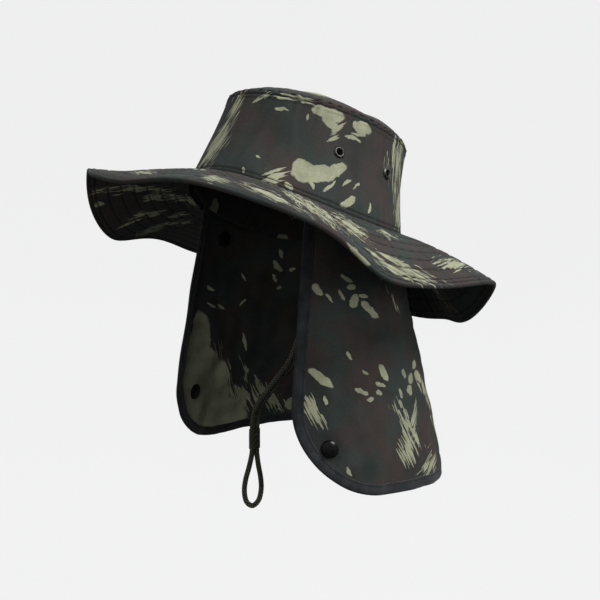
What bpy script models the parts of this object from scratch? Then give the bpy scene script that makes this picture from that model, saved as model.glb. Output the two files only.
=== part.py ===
"""Boonie hat with a neck curtain, a chin cord and snap fasteners.

Axes: +Z is plumb up, -Y is the wearer's front, +X the wearer's left.
Origin: centre of the head opening, where the crown meets the brim.
The hat leans back on the head, so the crown's own axis tips towards +Y while
the curtain and the chin cord hang plumb.  Lengths are in metres.
"""
import bpy
import bmesh
from math import cos, exp, hypot, pi, radians, sin, sqrt
from mathutils import Matrix, Vector

# ---------------------------------------------------------------- dimensions
LEAN_BACK = radians(14.5)

HEAD_HALF_WIDTH = 0.083       # head opening, half of the size across the ears
HEAD_FRONT = 0.1015           # from the middle of the opening to the forehead
HEAD_BACK = 0.0965            # and to the nape
SEAM_SADDLE = 0.015           # the opening's seam dips this much at the ears
CROWN_WALL = 0.075            # height of the crown's side band
CROWN_WAIST = 0.0028          # the wall is this much narrower halfway up
TIP_HALF_WIDTH = 0.064        # oval of the crown's top seam
TIP_FRONT = 0.0835
TIP_BACK = 0.0930
TIP_DOME = 0.0175             # how far the top panel bulges above its seam
TIP_FLATNESS = 2.45

BRIM_WIDTH = 0.092
BRIM_DROOP = 0.0325           # how far the brim's edge hangs below the seam plane
BRIM_ROLL = 1.4               # the brim starts flat and rolls down towards its edge
# Where the soft brim dips or lifts: direction from the front, extra droop, spread.
BRIM_WAVES = (
    (radians(88), 0.0365, radians(32)),
    (radians(125), -0.0095, radians(20)),
    (radians(150), 0.0250, radians(20)),
    (radians(180), 0.0200, radians(25)),
    (radians(240), -0.0080, radians(28)),
    (radians(305), 0.0240, radians(14)),
    (radians(325), -0.0240, radians(22)),
)
# The edge is drawn in at the right front: (direction, depth, spread).
BRIM_TUCK = (radians(332), 0.0105, radians(15))

CLOTH = 0.0009                # outer cotton twill
LINING = 0.0006               # thinner inner cloth
GAP = 0.0003                  # clearance between touching pieces
CURTAIN_INSET = 0.0034        # the curtain's middle lies this far inside the crown's face
SWEATBAND_INSET = 0.0048
SWEATBAND_RISE = 0.027

CURTAIN_START = radians(60)   # the curtain runs from here, both ways, to the nape
CURTAIN_SWEEP = radians(120)
HEM_FRONT_Y = -0.0825         # front edge of a lobe at hem level
HEM_FRONT_X = 0.0815
HEM_HALF_WIDTH = 0.1105
HEM_BACK_Y = 0.136
HEM_BACK_Z = -0.194
HEM_SIDE_LENGTH = 0.0885      # along the hem, front edge to the ear line
HEM_REAR_LENGTH = 0.1945      # along the hem, ear line to the nape
TOP_HALF_LENGTH = 0.188       # along the head opening, temple to nape
BACK_LENGTH = 0.1775          # from the seam to the hem at the nape
HEM_HALF_LENGTH = HEM_SIDE_LENGTH + HEM_REAR_LENGTH
YOKE_ABOVE = 0.008            # sewn-in strip that carries the curtain
YOKE_BELOW = 0.003
YOKE_CLEARANCE = 0.0045       # the lobes swing just below the yoke
LOBE_SPLIT = 0.517            # share of a curtain half, from the front, that swings
SPLIT_GAP = 0.0014
BINDING_WIDTH = 0.0085
BINDING_THICKNESS = 0.0034

# The soft curtain hangs lower on one side than on the other.  A lobe's hem lies drop below
# the nape's hem, and rises to it between the shares drop_from and drop_to of its half.
# Its lower front corner is rounded over corner_width along the hem and corner_height up.
LOBES = {
    "left": {"side": 1, "drop": 0.038, "drop_from": 0.53, "drop_to": 1.04,
             "corner_width": 0.083, "corner_height": 0.076, "snap_above_hem": 0.0395},
    "right": {"side": -1, "drop": 0.0145, "drop_from": 0.28, "drop_to": 0.68,
              "corner_width": 0.075, "corner_height": 0.069, "snap_above_hem": 0.046},
}

HINGE_X = 0.0760
HINGE_BELOW_SEAM = 0.0240

SNAP_RADIUS = 0.0073
SNAP_FROM_FRONT = 0.030
UPPER_SNAP_FROM_FRONT = 0.033
UPPER_SNAP_BELOW_SEAM = 0.0172
UPPER_SNAP_BACK_RADIUS = 0.0046
SNAP_HOLE_RADIUS = 0.0022
SNAP_POST_RADIUS = 0.0016

EYELET_DIRECTIONS = (radians(74.5), radians(111.5))
EYELET_RISES = (0.042, 0.042)
EYELET_SEAT = 0.0006          # the flange clears the hollow of the waisted wall
EYELET_FLANGE_RADIUS = 0.0053
EYELET_BORE_RADIUS = 0.0026
EYELET_BARREL_RADIUS = 0.0031
EYELET_HOLE_RADIUS = 0.0036

CORD_DIAMETER = 0.0044
ANCHOR_DIRECTION = radians(66)
ANCHOR_SIZE = (0.0124, 0.0048, 0.0105)
ANCHOR_TURN = radians(20)
# The two strands side by side, from their tab to the bottom of the loop: the point
# midway between them and half the distance between their middles.
CORD_ROUTE = (
    (0.0668, -0.0405, -0.0170, 0.0024), (0.0660, -0.0406, -0.0300, 0.0024),
    (0.0647, -0.0412, -0.0500, 0.0024), (0.0631, -0.0421, -0.0700, 0.0024),
    (0.0607, -0.0435, -0.0900, 0.0024), (0.0563, -0.0454, -0.1090, 0.0024),
    (0.0477, -0.0477, -0.1270, 0.0024), (0.0375, -0.0489, -0.1385, 0.0024),
    (0.0246, -0.0496, -0.1505, 0.0024), (0.0120, -0.0500, -0.1625, 0.0024),
    (0.0062, -0.0500, -0.1700, 0.0024), (0.0030, -0.0500, -0.1780, 0.0024),
    (0.0018, -0.0500, -0.1880, 0.0024), (0.0018, -0.0500, -0.1980, 0.0024),
    (0.0016, -0.0500, -0.2070, 0.0025), (0.0008, -0.0500, -0.2180, 0.0048),
    (-0.0001, -0.0500, -0.2290, 0.0079), (-0.0006, -0.0500, -0.2390, 0.0089),
    (-0.0008, -0.0500, -0.2480, 0.0064), (-0.0008, -0.0500, -0.2520, 0.0),
)
KEEPER_TOP = -0.1870
KEEPER_LENGTH = 0.0165

RING_STEPS = 48
CURTAIN_ROWS = 7


# ------------------------------------------------------------------- helpers
def clear_scene():
    for item in list(bpy.data.objects):
        bpy.data.objects.remove(item, do_unlink=True)


def make_material(name, colour, roughness, metallic=0.0):
    material = bpy.data.materials.new(name)
    material.use_nodes = True
    shader = material.node_tree.nodes["Principled BSDF"]
    shader.inputs["Base Color"].default_value = (*colour, 1.0)
    shader.inputs["Roughness"].default_value = roughness
    shader.inputs["Metallic"].default_value = metallic
    return material


def make_empty(name, location):
    empty = bpy.data.objects.new(name, None)
    empty.location = location
    bpy.context.collection.objects.link(empty)
    return empty


def make_object(name, mesh_builder, material, parent=None, place=None):
    """Turn a bmesh into an object; place is the world matrix of a locally built piece."""
    bmesh.ops.recalc_face_normals(mesh_builder, faces=mesh_builder.faces)
    mesh = bpy.data.meshes.new(name)
    mesh_builder.to_mesh(mesh)
    mesh_builder.free()
    mesh.shade_smooth()
    mesh.set_sharp_from_angle(angle=radians(40))
    mesh.materials.append(material)
    piece = bpy.data.objects.new(name, mesh)
    bpy.context.collection.objects.link(piece)
    home = parent.location if parent else Vector((0, 0, 0))
    if place is None:
        mesh.transform(Matrix.Translation(-home))
    else:
        piece.location = place.translation - home
        piece.rotation_euler = place.to_euler()
    if parent:
        piece.parent = parent
    return piece


def steps(first, last, count):
    return [first + (last - first) * index / count for index in range(count + 1)]


def surface_normal(surface, u, v):
    """Unit normal of surface(u, v) from small differences."""
    du = 1e-4
    across = surface(u + du, v) - surface(u - du, v)
    along = surface(u, v + du) - surface(u, v - du)
    return across.cross(along).normalized()


def sheet_solid(name, surface, us, vs, offsets, material, closed=False, parent=None):
    """A cloth layer: the surface thickened from offsets[0] to offsets[1] along its normal."""
    builder = bmesh.new()
    layers = []
    for offset in offsets:
        layers.append([[builder.verts.new(surface(u, v) + surface_normal(surface, u, v) * offset)
                        for v in vs] for u in us])
    columns = len(us)
    rows = len(vs)
    turns = columns if closed else columns - 1
    for layer in layers:
        for i in range(turns):
            j = (i + 1) % columns
            for k in range(rows - 1):
                builder.faces.new((layer[i][k], layer[j][k], layer[j][k + 1], layer[i][k + 1]))
    near, far = layers
    for i in range(turns):
        j = (i + 1) % columns
        for k in (0, rows - 1):
            builder.faces.new((near[i][k], near[j][k], far[j][k], far[i][k]))
    if not closed:
        for i in (0, columns - 1):
            for k in range(rows - 1):
                builder.faces.new((near[i][k], near[i][k + 1], far[i][k + 1], far[i][k]))
    return make_object(name, builder, material, parent)


def turned_solid(name, profile, segments, material, place, parent=None):
    """Spin a closed (radius, height) outline round the local Z axis."""
    builder = bmesh.new()
    ring = [builder.verts.new((radius, 0, height)) for radius, height in profile]
    edges = [builder.edges.new((ring[i], ring[(i + 1) % len(ring)])) for i in range(len(ring))
             if profile[i][0] > 0 or profile[(i + 1) % len(ring)][0] > 0]
    bmesh.ops.spin(builder, geom=ring + edges, cent=(0, 0, 0), axis=(0, 0, 1),
                   angle=2 * pi, steps=segments, use_merge=True)
    bmesh.ops.remove_doubles(builder, verts=builder.verts, dist=1e-6)
    return make_object(name, builder, material, parent, place)


def frame_at(point, normal):
    """World matrix whose Z axis is the given normal."""
    turn = normal.to_track_quat("Z", "Y").to_matrix().to_4x4()
    return Matrix.Translation(point) @ turn


def cut_hole(targets, name, place, radius, length):
    """A round hole through each target, made by one cutter."""
    builder = bmesh.new()
    bmesh.ops.create_cone(builder, cap_ends=True, segments=24, radius1=radius,
                          radius2=radius, depth=length)
    cutter = make_object(name, builder, targets[0].data.materials[0], None, place)
    cutter.hide_render = True
    cutter.display_type = "WIRE"
    for target in targets:
        boolean = target.modifiers.new(name, "BOOLEAN")
        boolean.operation = "DIFFERENCE"
        boolean.object = cutter


# ------------------------------------------------------------------ surfaces
def plumb(point):
    """From the hat's own axes to the plumb ones: lean the hat back."""
    x, y, z = point
    return Vector((x, y * cos(LEAN_BACK) + z * sin(LEAN_BACK),
                   -y * sin(LEAN_BACK) + z * cos(LEAN_BACK)))


def head_length(direction):
    return HEAD_FRONT if cos(direction) > 0 else HEAD_BACK


def tip_length(direction):
    return TIP_FRONT if cos(direction) > 0 else TIP_BACK


def outward(direction):
    """Horizontal normal of the head oval; direction is measured from the front."""
    x = sin(direction) / HEAD_HALF_WIDTH
    y = -cos(direction) / head_length(direction)
    size = hypot(x, y)
    return x / size, y / size


def crown_in_hat(direction, rise, inset=0.0):
    """The crown wall's outer face, rise above the base seam, moved in by inset."""
    share = rise / CROWN_WALL
    foot = head_length(direction)
    half_width = HEAD_HALF_WIDTH + (TIP_HALF_WIDTH - HEAD_HALF_WIDTH) * share
    half_length = foot + (tip_length(direction) - foot) * share
    seam_height = -SEAM_SADDLE * sin(direction) ** 2
    across, forward = outward(direction)
    inwards = inset + CROWN_WAIST * sin(pi * min(max(share, 0.0), 1.0))
    return (half_width * sin(direction) - across * inwards,
            -half_length * cos(direction) - forward * inwards,
            seam_height + (CROWN_WALL - seam_height) * share)


def crown_point(direction, rise, inset=0.0):
    return plumb(crown_in_hat(direction, rise, inset))


def brim_droop(direction):
    """Height of the brim's edge below the seam plane."""
    droop = BRIM_DROOP
    for centre, depth, spread in BRIM_WAVES:
        away = (direction - centre + pi) % (2 * pi) - pi
        droop += depth * exp(-(away / spread) ** 2)
    return droop


def brim_point(direction, share):
    """The brim's upper reference surface: share runs from the seam to the edge."""
    x, y, z = crown_in_hat(direction, 0.0)
    fall = brim_droop(direction) + z
    centre, depth, spread = BRIM_TUCK
    away = (direction - centre + pi) % (2 * pi) - pi
    reach = sqrt(BRIM_WIDTH ** 2 - fall ** 2) - depth * exp(-(away / spread) ** 2)
    across, forward = outward(direction)
    return plumb((x + across * reach * share, y + forward * reach * share,
                  z - fall * max(share, 0.0) ** BRIM_ROLL))


def hem_point(lobe, share):
    """Hem line of one curtain half: share runs from the front edge to the nape."""
    run = share * HEM_HALF_LENGTH
    if run < HEM_SIDE_LENGTH:
        ahead = 1 - run / HEM_SIDE_LENGTH
        x = HEM_HALF_WIDTH - (HEM_HALF_WIDTH - HEM_FRONT_X) * ahead ** 2
        y = HEM_FRONT_Y * ahead
    else:
        turn = (run - HEM_SIDE_LENGTH) / HEM_REAR_LENGTH * pi / 2
        x = HEM_HALF_WIDTH * cos(turn)
        y = HEM_BACK_Y * sin(turn)
    blend = (lobe["drop_to"] - share) / (lobe["drop_to"] - lobe["drop_from"])
    blend = min(max(blend, 0.0), 1.0)
    blend = blend * blend * (3 - 2 * blend)
    return Vector((lobe["side"] * x, y, HEM_BACK_Z - lobe["drop"] * blend))


def curtain_top(lobe, share, rise=0.0):
    direction = CURTAIN_START + CURTAIN_SWEEP * share
    point = crown_point(direction, rise, CURTAIN_INSET)
    return Vector((lobe["side"] * point.x, point.y, point.z))


def curtain_point(lobe, share, fall):
    """The curtain's middle surface: fall runs from the seam (0) to the hem (1)."""
    top = curtain_top(lobe, share)
    return top + (hem_point(lobe, share) - top) * fall


def column_length(lobe, share):
    return (hem_point(lobe, share) - curtain_top(lobe, share)).length


def half_length(fall):
    """Length of one curtain half, front edge to nape."""
    return TOP_HALF_LENGTH + (HEM_HALF_LENGTH - TOP_HALF_LENGTH) * fall


def lobe_point(lobe, from_front, fall):
    """Point of a lobe at a distance from its front edge."""
    return curtain_point(lobe, from_front / half_length(fall), fall)


def lobe_bottom(lobe, from_front, inset):
    """Fall at which a lobe's lower outline, moved in by inset, crosses a column."""
    width = lobe["corner_width"]
    above_hem = inset
    if from_front < width:
        reach = (width - from_front) / (width - inset)
        height = lobe["corner_height"]
        above_hem = height - (height - inset) * sqrt(max(1 - reach * reach, 0.0))
    return 1 - above_hem / column_length(lobe, from_front / HEM_HALF_LENGTH)


def lobe_split(fall):
    """Distance from the front edge to the line where a lobe meets the back panel."""
    return LOBE_SPLIT * half_length(fall) - SPLIT_GAP


def lobe_top_fall(lobe):
    return (YOKE_BELOW + YOKE_CLEARANCE) / column_length(lobe, 0.0)


# -------------------------------------------------------------------- pieces
def build_crown(camo, lining):
    ring = steps(0, 2 * pi, RING_STEPS)[:-1]

    def wall(direction, rise):
        return crown_point(direction, rise)

    crown_band = sheet_solid("crown_band", wall, ring, steps(0.0, CROWN_WALL, 3),
                             (0.0, -CLOTH), camo, closed=True)
    sheet_solid("tip_seam_tape", lambda u, v: crown_point(u, v, 0.0015), ring,
                (CROWN_WALL - 0.011, CROWN_WALL - 0.001), (0.0, -LINING), lining, closed=True)
    sheet_solid("sweatband", lambda u, v: crown_point(u, v, SWEATBAND_INSET), ring,
                steps(0.0, SWEATBAND_RISE, 2), (0.0, -0.0010), lining, closed=True)
    build_tip(camo, ring)
    return crown_band


def build_tip(camo, ring):
    """The domed oval top panel."""
    builder = bmesh.new()
    rings = (1.0, 0.94, 0.78, 0.55, 0.28)
    skins = []
    for lift in (GAP, GAP + CLOTH):
        rows = []
        for share in rings:
            height = CROWN_WALL + lift + TIP_DOME * (1 - share ** TIP_FLATNESS)
            rows.append([builder.verts.new(plumb((TIP_HALF_WIDTH * share * sin(u),
                                                  -tip_length(u) * share * cos(u), height)))
                         for u in ring])
        peak = builder.verts.new(plumb((0, 0, CROWN_WALL + lift + TIP_DOME)))
        skins.append(rows)
        for i in range(len(ring)):
            j = (i + 1) % len(ring)
            for inner, outer in zip(rows[1:], rows[:-1]):
                builder.faces.new((outer[i], outer[j], inner[j], inner[i]))
            builder.faces.new((rows[-1][i], rows[-1][j], peak))
    for i in range(len(ring)):
        j = (i + 1) % len(ring)
        builder.faces.new((skins[0][0][i], skins[0][0][j], skins[1][0][j], skins[1][0][i]))
    make_object("crown_tip", builder, camo)


def build_eyelets(crown_band, metal):
    """Four vent eyelets, each a flanged barrel outside and a washer inside."""
    eyelet_profile = (
        (EYELET_BORE_RADIUS, 0.0014), (EYELET_BORE_RADIUS + 0.0008, 0.0018),
        (EYELET_FLANGE_RADIUS - 0.0008, 0.0014), (EYELET_FLANGE_RADIUS, 0.0009),
        (EYELET_FLANGE_RADIUS, EYELET_SEAT), (EYELET_BARREL_RADIUS, EYELET_SEAT),
        (EYELET_BARREL_RADIUS, -0.0028), (EYELET_BORE_RADIUS, -0.0028),
    )
    washer_profile = (
        (EYELET_BARREL_RADIUS + GAP, -0.0017), (EYELET_FLANGE_RADIUS - 0.0003, -0.0017),
        (EYELET_FLANGE_RADIUS - 0.0005, -0.0023), (EYELET_BARREL_RADIUS + GAP, -0.0025),
    )
    for side, side_name in ((1, "left"), (-1, "right")):
        for number, (direction, rise) in enumerate(zip(EYELET_DIRECTIONS, EYELET_RISES)):
            place_name = ("front", "rear")[number]
            angle = side * direction
            point = crown_point(angle, rise)
            normal = surface_normal(crown_point, angle, rise)
            if normal.x * side < 0:
                normal.negate()
            place = frame_at(point, normal)
            label = f"{side_name}_{place_name}"
            cut_hole([crown_band], f"cutter_eyelet_{label}", place, EYELET_HOLE_RADIUS, 0.012)
            turned_solid(f"eyelet_{label}", eyelet_profile, 16, metal, place)
            turned_solid(f"eyelet_washer_{label}", washer_profile, 16, metal, place)


def build_brim(camo, stiffener):
    """Two cloth layers with a stiffening layer between them, stacked below the seam."""
    ring = steps(0, 2 * pi, RING_STEPS)[:-1]
    top = GAP
    middle = top + CLOTH + GAP
    bottom = middle + LINING + GAP
    rows = steps(0.0, 1.0, 4)
    sheet_solid("brim_top", brim_point, ring, rows, (top, top + CLOTH), camo, closed=True)
    sheet_solid("brim_interlining", brim_point, ring, rows,
                (middle, middle + LINING), stiffener, closed=True)
    sheet_solid("brim_bottom", brim_point, ring, rows,
                (bottom, bottom + CLOTH), camo, closed=True)


def lobe_at(share):
    """Which half of the curtain holds this share, -1 to 1 through the nape."""
    return LOBES["left"] if share >= 0 else LOBES["right"]


def yoke_surface(share, fall):
    """Both halves of the curtain's sewn-in strip; here fall is a length."""
    lobe = lobe_at(share)
    from_temple = 1 - abs(share)
    if fall < 0:
        return curtain_top(lobe, from_temple, -fall)
    return curtain_point(lobe, from_temple, fall / column_length(lobe, from_temple))


def back_surface(share, fall):
    return curtain_point(lobe_at(share), 1 - abs(share), fall)


def build_curtain_back(camo, lining, tape):
    """The part of the curtain that stays put: the yoke, the panel behind the neck and its hem."""
    sheet_solid("curtain_yoke", yoke_surface, steps(-1, 1, 32),
                (-YOKE_ABOVE, -0.0001, YOKE_BELOW), (-CLOTH, CLOTH), camo)
    reach = 1 - LOBE_SPLIT
    across = steps(-reach, reach, 20)
    top_fall = (YOKE_BELOW + GAP * 3) / BACK_LENGTH
    hem_fall = 1 - (BINDING_WIDTH + GAP) / BACK_LENGTH
    falls = steps(top_fall, hem_fall, CURTAIN_ROWS)
    sheet_solid("curtain_back", back_surface, across, falls, (GAP / 2, GAP / 2 + CLOTH), camo)
    sheet_solid("curtain_back_lining", back_surface, across, falls,
                (-GAP / 2, -GAP / 2 - LINING), lining)
    sheet_solid("curtain_back_binding", back_surface, across,
                (1 - BINDING_WIDTH / BACK_LENGTH, 1.0),
                (-BINDING_THICKNESS / 2, BINDING_THICKNESS / 2), tape)


def build_lobe(name, lobe, camo, lining, tape, hinge):
    """One side lobe of the curtain: cloth, lining and the bias binding round its edge."""
    top_fall = lobe_top_fall(lobe)
    inset = BINDING_WIDTH + 5 * GAP
    outside = -lobe["side"]   # the panel's normal points into the hat on the left lobe

    def panel(column, row):
        share = column ** 1.5 if column > 0 else column
        foot = inset + share * (lobe_split(1.0) - inset)
        low = lobe_bottom(lobe, foot, inset)
        fall = top_fall + (low - top_fall) * row
        return lobe_point(lobe, inset + share * (lobe_split(fall) - inset), fall)

    columns = steps(0, 1, 12)
    rows = steps(0, 1, CURTAIN_ROWS)
    outer = sheet_solid(f"{name}_lobe", panel, columns, rows,
                        (outside * GAP / 2, outside * (GAP / 2 + CLOTH)), camo, parent=hinge)
    inner = sheet_solid(f"{name}_lobe_lining", panel, columns, rows,
                        (-outside * GAP / 2, -outside * (GAP / 2 + LINING)), lining, parent=hinge)

    width = lobe["corner_width"]
    height = lobe["corner_height"]

    def edge(path, inward):
        """Outline strip: path 0..1 down the front, 1..2 round the corner, 2..3 along the hem."""
        if path <= 1:
            straight = 1 - height / column_length(lobe, 0.0)
            return lobe_point(lobe, inward, top_fall + (straight - top_fall) * path)
        if path <= 2:
            angle = (path - 1) * pi / 2
            foot = width - (width - inward) * cos(angle)
            above_hem = height - (height - inward) * sin(angle)
        else:
            above_hem = inward
            reach = lobe_split(1 - inward / column_length(lobe, LOBE_SPLIT))
            foot = width + (reach - width) * (path - 2)
        length = column_length(lobe, foot / HEM_HALF_LENGTH)
        return lobe_point(lobe, foot, 1 - above_hem / length)

    paths = steps(0, 1, 6) + steps(1, 2, 8)[1:] + steps(2, 3, 6)[1:]
    sheet_solid(f"{name}_lobe_binding", edge, paths, (0.0, BINDING_WIDTH),
                (-BINDING_THICKNESS / 2, BINDING_THICKNESS / 2), tape, parent=hinge)
    return outer, inner


def build_snap(name, place, back_radius, targets, black, hinge):
    """A snap: domed cap with a post on one face, a ring on the other, a hole between them."""
    cap_profile = (
        (0.0, 0.0042), (SNAP_RADIUS * 0.45, 0.0039), (SNAP_RADIUS * 0.80, 0.0029),
        (SNAP_RADIUS, 0.0016), (SNAP_RADIUS, 0.0014), (SNAP_POST_RADIUS, 0.0014),
        (SNAP_POST_RADIUS, -0.0022), (0.0, -0.0022),
    )
    socket_profile = (
        (SNAP_POST_RADIUS + GAP, -0.0014), (back_radius, -0.0014),
        (back_radius, -0.0020), (back_radius * 0.75, -0.0032),
        (back_radius * 0.50, -0.0034), (SNAP_POST_RADIUS + GAP, -0.0028),
    )
    cut_hole(targets, f"cutter_{name}", place, SNAP_HOLE_RADIUS, 0.006)
    turned_solid(f"{name}_cap", cap_profile, 16, black, place, hinge)
    turned_solid(f"{name}_socket", socket_profile, 16, black, place, hinge)


def build_lobe_snaps(name, lobe, targets, black, hinge):
    """The lower snap shows its cap outside, the upper one inside, so that the lobe folds up."""
    foot = SNAP_FROM_FRONT
    length = column_length(lobe, foot / HEM_HALF_LENGTH)
    spots = {
        "lower_snap": (foot, 1 - lobe["snap_above_hem"] / length, 1, SNAP_RADIUS - GAP),
        "upper_snap": (UPPER_SNAP_FROM_FRONT, UPPER_SNAP_BELOW_SEAM / length, -1,
                       UPPER_SNAP_BACK_RADIUS),
    }
    for label, (from_front, fall, facing, back_radius) in spots.items():
        point = lobe_point(lobe, from_front, fall)
        normal = surface_normal(lambda u, v: lobe_point(lobe, u, v), from_front, fall)
        if normal.x * lobe["side"] * facing < 0:
            normal.negate()
        build_snap(f"{name}_{label}", frame_at(point, normal), back_radius, targets, black, hinge)


def anchor_top():
    """Where the cord tab meets the inside of the sweatband."""
    inset = SWEATBAND_INSET + 0.0022 + ANCHOR_SIZE[1] / 2
    return crown_point(ANCHOR_DIRECTION, 0.0, inset)


def build_anchor(tape):
    """Sewn tab that holds both ends of the chin cord."""
    width, thick, tall = ANCHOR_SIZE
    builder = bmesh.new()
    bmesh.ops.create_cube(builder, size=1.0)
    bmesh.ops.scale(builder, vec=(thick, width, tall), verts=builder.verts)
    upright = [edge for edge in builder.edges
               if abs(edge.verts[0].co.z - edge.verts[1].co.z) > tall / 2]
    bmesh.ops.bevel(builder, geom=upright, offset=0.0012, segments=2, affect="EDGES", profile=0.5)
    turn = Matrix.Rotation(-ANCHOR_TURN, 4, "Z")
    place = Matrix.Translation(anchor_top() - Vector((0, 0, tall / 2))) @ turn
    make_object("cord_anchor", builder, tape, None, place)


def smooth_curve(points, spacing):
    """Catmull-Rom curve through the points, sampled at an even spacing."""
    line = [2 * points[0] - points[1]] + list(points) + [2 * points[-1] - points[-2]]
    fine = []
    for a, b, c, d in zip(line, line[1:], line[2:], line[3:]):
        for index in range(16):
            t = index / 16
            fine.append(0.5 * ((2 * b) + (c - a) * t + (2 * a - 5 * b + 4 * c - d) * t * t
                               + (3 * b - a - 3 * c + d) * t ** 3))
    fine.append(points[-1])
    lengths = [0.0]
    for first, second in zip(fine, fine[1:]):
        lengths.append(lengths[-1] + (second - first).length)
    count = round(lengths[-1] / spacing)
    samples = []
    index = 0
    for step in range(count + 1):
        want = lengths[-1] * step / count
        while index < len(fine) - 2 and lengths[index + 1] < want:
            index += 1
        share = (want - lengths[index]) / max(lengths[index + 1] - lengths[index], 1e-9)
        samples.append(fine[index].lerp(fine[index + 1], min(share, 1.0)))
    return samples


def cord_line():
    """The whole chin cord, from the tab down, round the loop and up to the tab again."""
    ahead = [Vector((x, y - half, z)) for x, y, z, half in CORD_ROUTE]
    behind = [Vector((x, y + half, z)) for x, y, z, half in reversed(CORD_ROUTE[:-1])]
    return smooth_curve(ahead + behind, CORD_DIAMETER * 1.9)


def build_cord(braid, hinge):
    curve = bpy.data.curves.new("chin_cord", "CURVE")
    curve.dimensions = "3D"
    curve.bevel_depth = CORD_DIAMETER / 2
    curve.bevel_resolution = 2
    curve.use_fill_caps = True
    spline = curve.splines.new("POLY")
    line = cord_line()
    spline.points.add(len(line) - 1)
    for point, place in zip(spline.points, line):
        point.co = (*(place - hinge.location), 1.0)
    curve.materials.append(braid)
    cord = bpy.data.objects.new("chin_cord", curve)
    bpy.context.collection.objects.link(cord)
    cord.parent = hinge


def build_keeper(braid, hinge):
    """Whipping that holds the two strands together above the loop."""
    middle_x, middle_y, _, half = CORD_ROUTE[12]
    clear = CORD_DIAMETER / 2 + GAP
    wall = 0.0006
    builder = bmesh.new()
    rings = []
    for extra in (clear, clear + wall):
        for height in (KEEPER_TOP, KEEPER_TOP - KEEPER_LENGTH):
            ring = []
            for index in range(20):
                angle = 2 * pi * index / 20
                shift = half if cos(angle) >= 0 else -half
                ring.append(builder.verts.new((middle_x + extra * sin(angle),
                                               middle_y + shift + extra * cos(angle), height)))
            rings.append(ring)
    inner_top, inner_low, outer_top, outer_low = rings
    for i in range(20):
        j = (i + 1) % 20
        builder.faces.new((outer_top[i], outer_top[j], outer_low[j], outer_low[i]))
        builder.faces.new((inner_top[i], inner_top[j], inner_low[j], inner_low[i]))
        builder.faces.new((outer_top[i], outer_top[j], inner_top[j], inner_top[i]))
        builder.faces.new((outer_low[i], outer_low[j], inner_low[j], inner_low[i]))
    make_object("cord_keeper", builder, braid, hinge)


def main():
    clear_scene()
    camo = make_material("camo_twill", (0.034, 0.038, 0.034), 0.85)
    lining = make_material("lining_twill", (0.026, 0.028, 0.026), 0.9)
    stiffener = make_material("stiffener", (0.30, 0.30, 0.28), 0.9)
    tape = make_material("binding_tape", (0.012, 0.013, 0.014), 0.75)
    braid = make_material("cord_braid", (0.050, 0.052, 0.036), 0.8)
    black = make_material("snap_black", (0.008, 0.008, 0.008), 0.25)
    metal = make_material("eyelet_metal", (0.055, 0.057, 0.055), 0.35, 0.8)

    crown_band = build_crown(camo, lining)
    build_eyelets(crown_band, metal)
    build_brim(camo, stiffener)
    build_curtain_back(camo, lining, tape)
    for name, lobe in LOBES.items():
        hinge_spot = plumb((lobe["side"] * HINGE_X, 0.0, -HINGE_BELOW_SEAM))
        hinge = make_empty(f"{name}_lobe_hinge", hinge_spot)
        targets = build_lobe(name, lobe, camo, lining, tape, hinge)
        build_lobe_snaps(name, lobe, targets, black, hinge)
    build_anchor(tape)
    cord_hinge = make_empty("chin_cord_hinge", Vector(CORD_ROUTE[0][:3]))
    build_cord(braid, cord_hinge)
    build_keeper(braid, cord_hinge)


main()
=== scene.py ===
"""Looks of the boonie hat: cloth, print, stitching, binding, braid, snaps and eyelets."""
from functools import reduce
from math import cos, pi, radians, sin

import bpy
import bmesh
import numpy as np
from mathutils import Matrix, Vector


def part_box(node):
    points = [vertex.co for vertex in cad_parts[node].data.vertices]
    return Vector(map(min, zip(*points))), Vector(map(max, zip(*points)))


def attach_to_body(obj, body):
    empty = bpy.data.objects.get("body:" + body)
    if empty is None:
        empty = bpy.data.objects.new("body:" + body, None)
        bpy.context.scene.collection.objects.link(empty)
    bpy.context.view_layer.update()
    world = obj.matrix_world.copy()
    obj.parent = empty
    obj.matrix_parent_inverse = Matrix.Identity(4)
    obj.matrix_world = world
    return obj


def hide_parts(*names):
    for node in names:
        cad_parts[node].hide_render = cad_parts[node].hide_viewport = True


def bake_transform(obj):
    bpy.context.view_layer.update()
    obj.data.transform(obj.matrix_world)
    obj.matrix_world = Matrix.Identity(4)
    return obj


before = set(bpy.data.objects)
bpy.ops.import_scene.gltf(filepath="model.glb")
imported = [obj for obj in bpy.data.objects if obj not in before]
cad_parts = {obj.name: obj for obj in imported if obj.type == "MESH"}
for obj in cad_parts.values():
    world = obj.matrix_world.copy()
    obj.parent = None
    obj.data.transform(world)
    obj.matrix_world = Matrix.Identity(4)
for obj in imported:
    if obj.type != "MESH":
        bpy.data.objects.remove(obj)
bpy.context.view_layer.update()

# ------------------------------------------------ sizes shared with the frame
# Metres and radians. Directions run round the hat from its front, positive to the
# wearer's left. Pairs of sizes such as TIP_FRONT and TIP_BACK are half lengths.
LEAN_BACK = radians(14.5)
HEAD_HALF_WIDTH = 0.083
HEAD_FRONT = 0.1015
HEAD_BACK = 0.0965
SEAM_SADDLE = 0.015
CROWN_WALL = 0.075
CROWN_WAIST = 0.0028
TIP_HALF_WIDTH = 0.064
TIP_FRONT = 0.0835
TIP_BACK = 0.0930
TIP_DOME = 0.0175
TIP_FLATNESS = 2.45

BRIM_WIDTH = 0.092
BRIM_DROOP = 0.0325
BRIM_ROLL = 1.4
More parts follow.
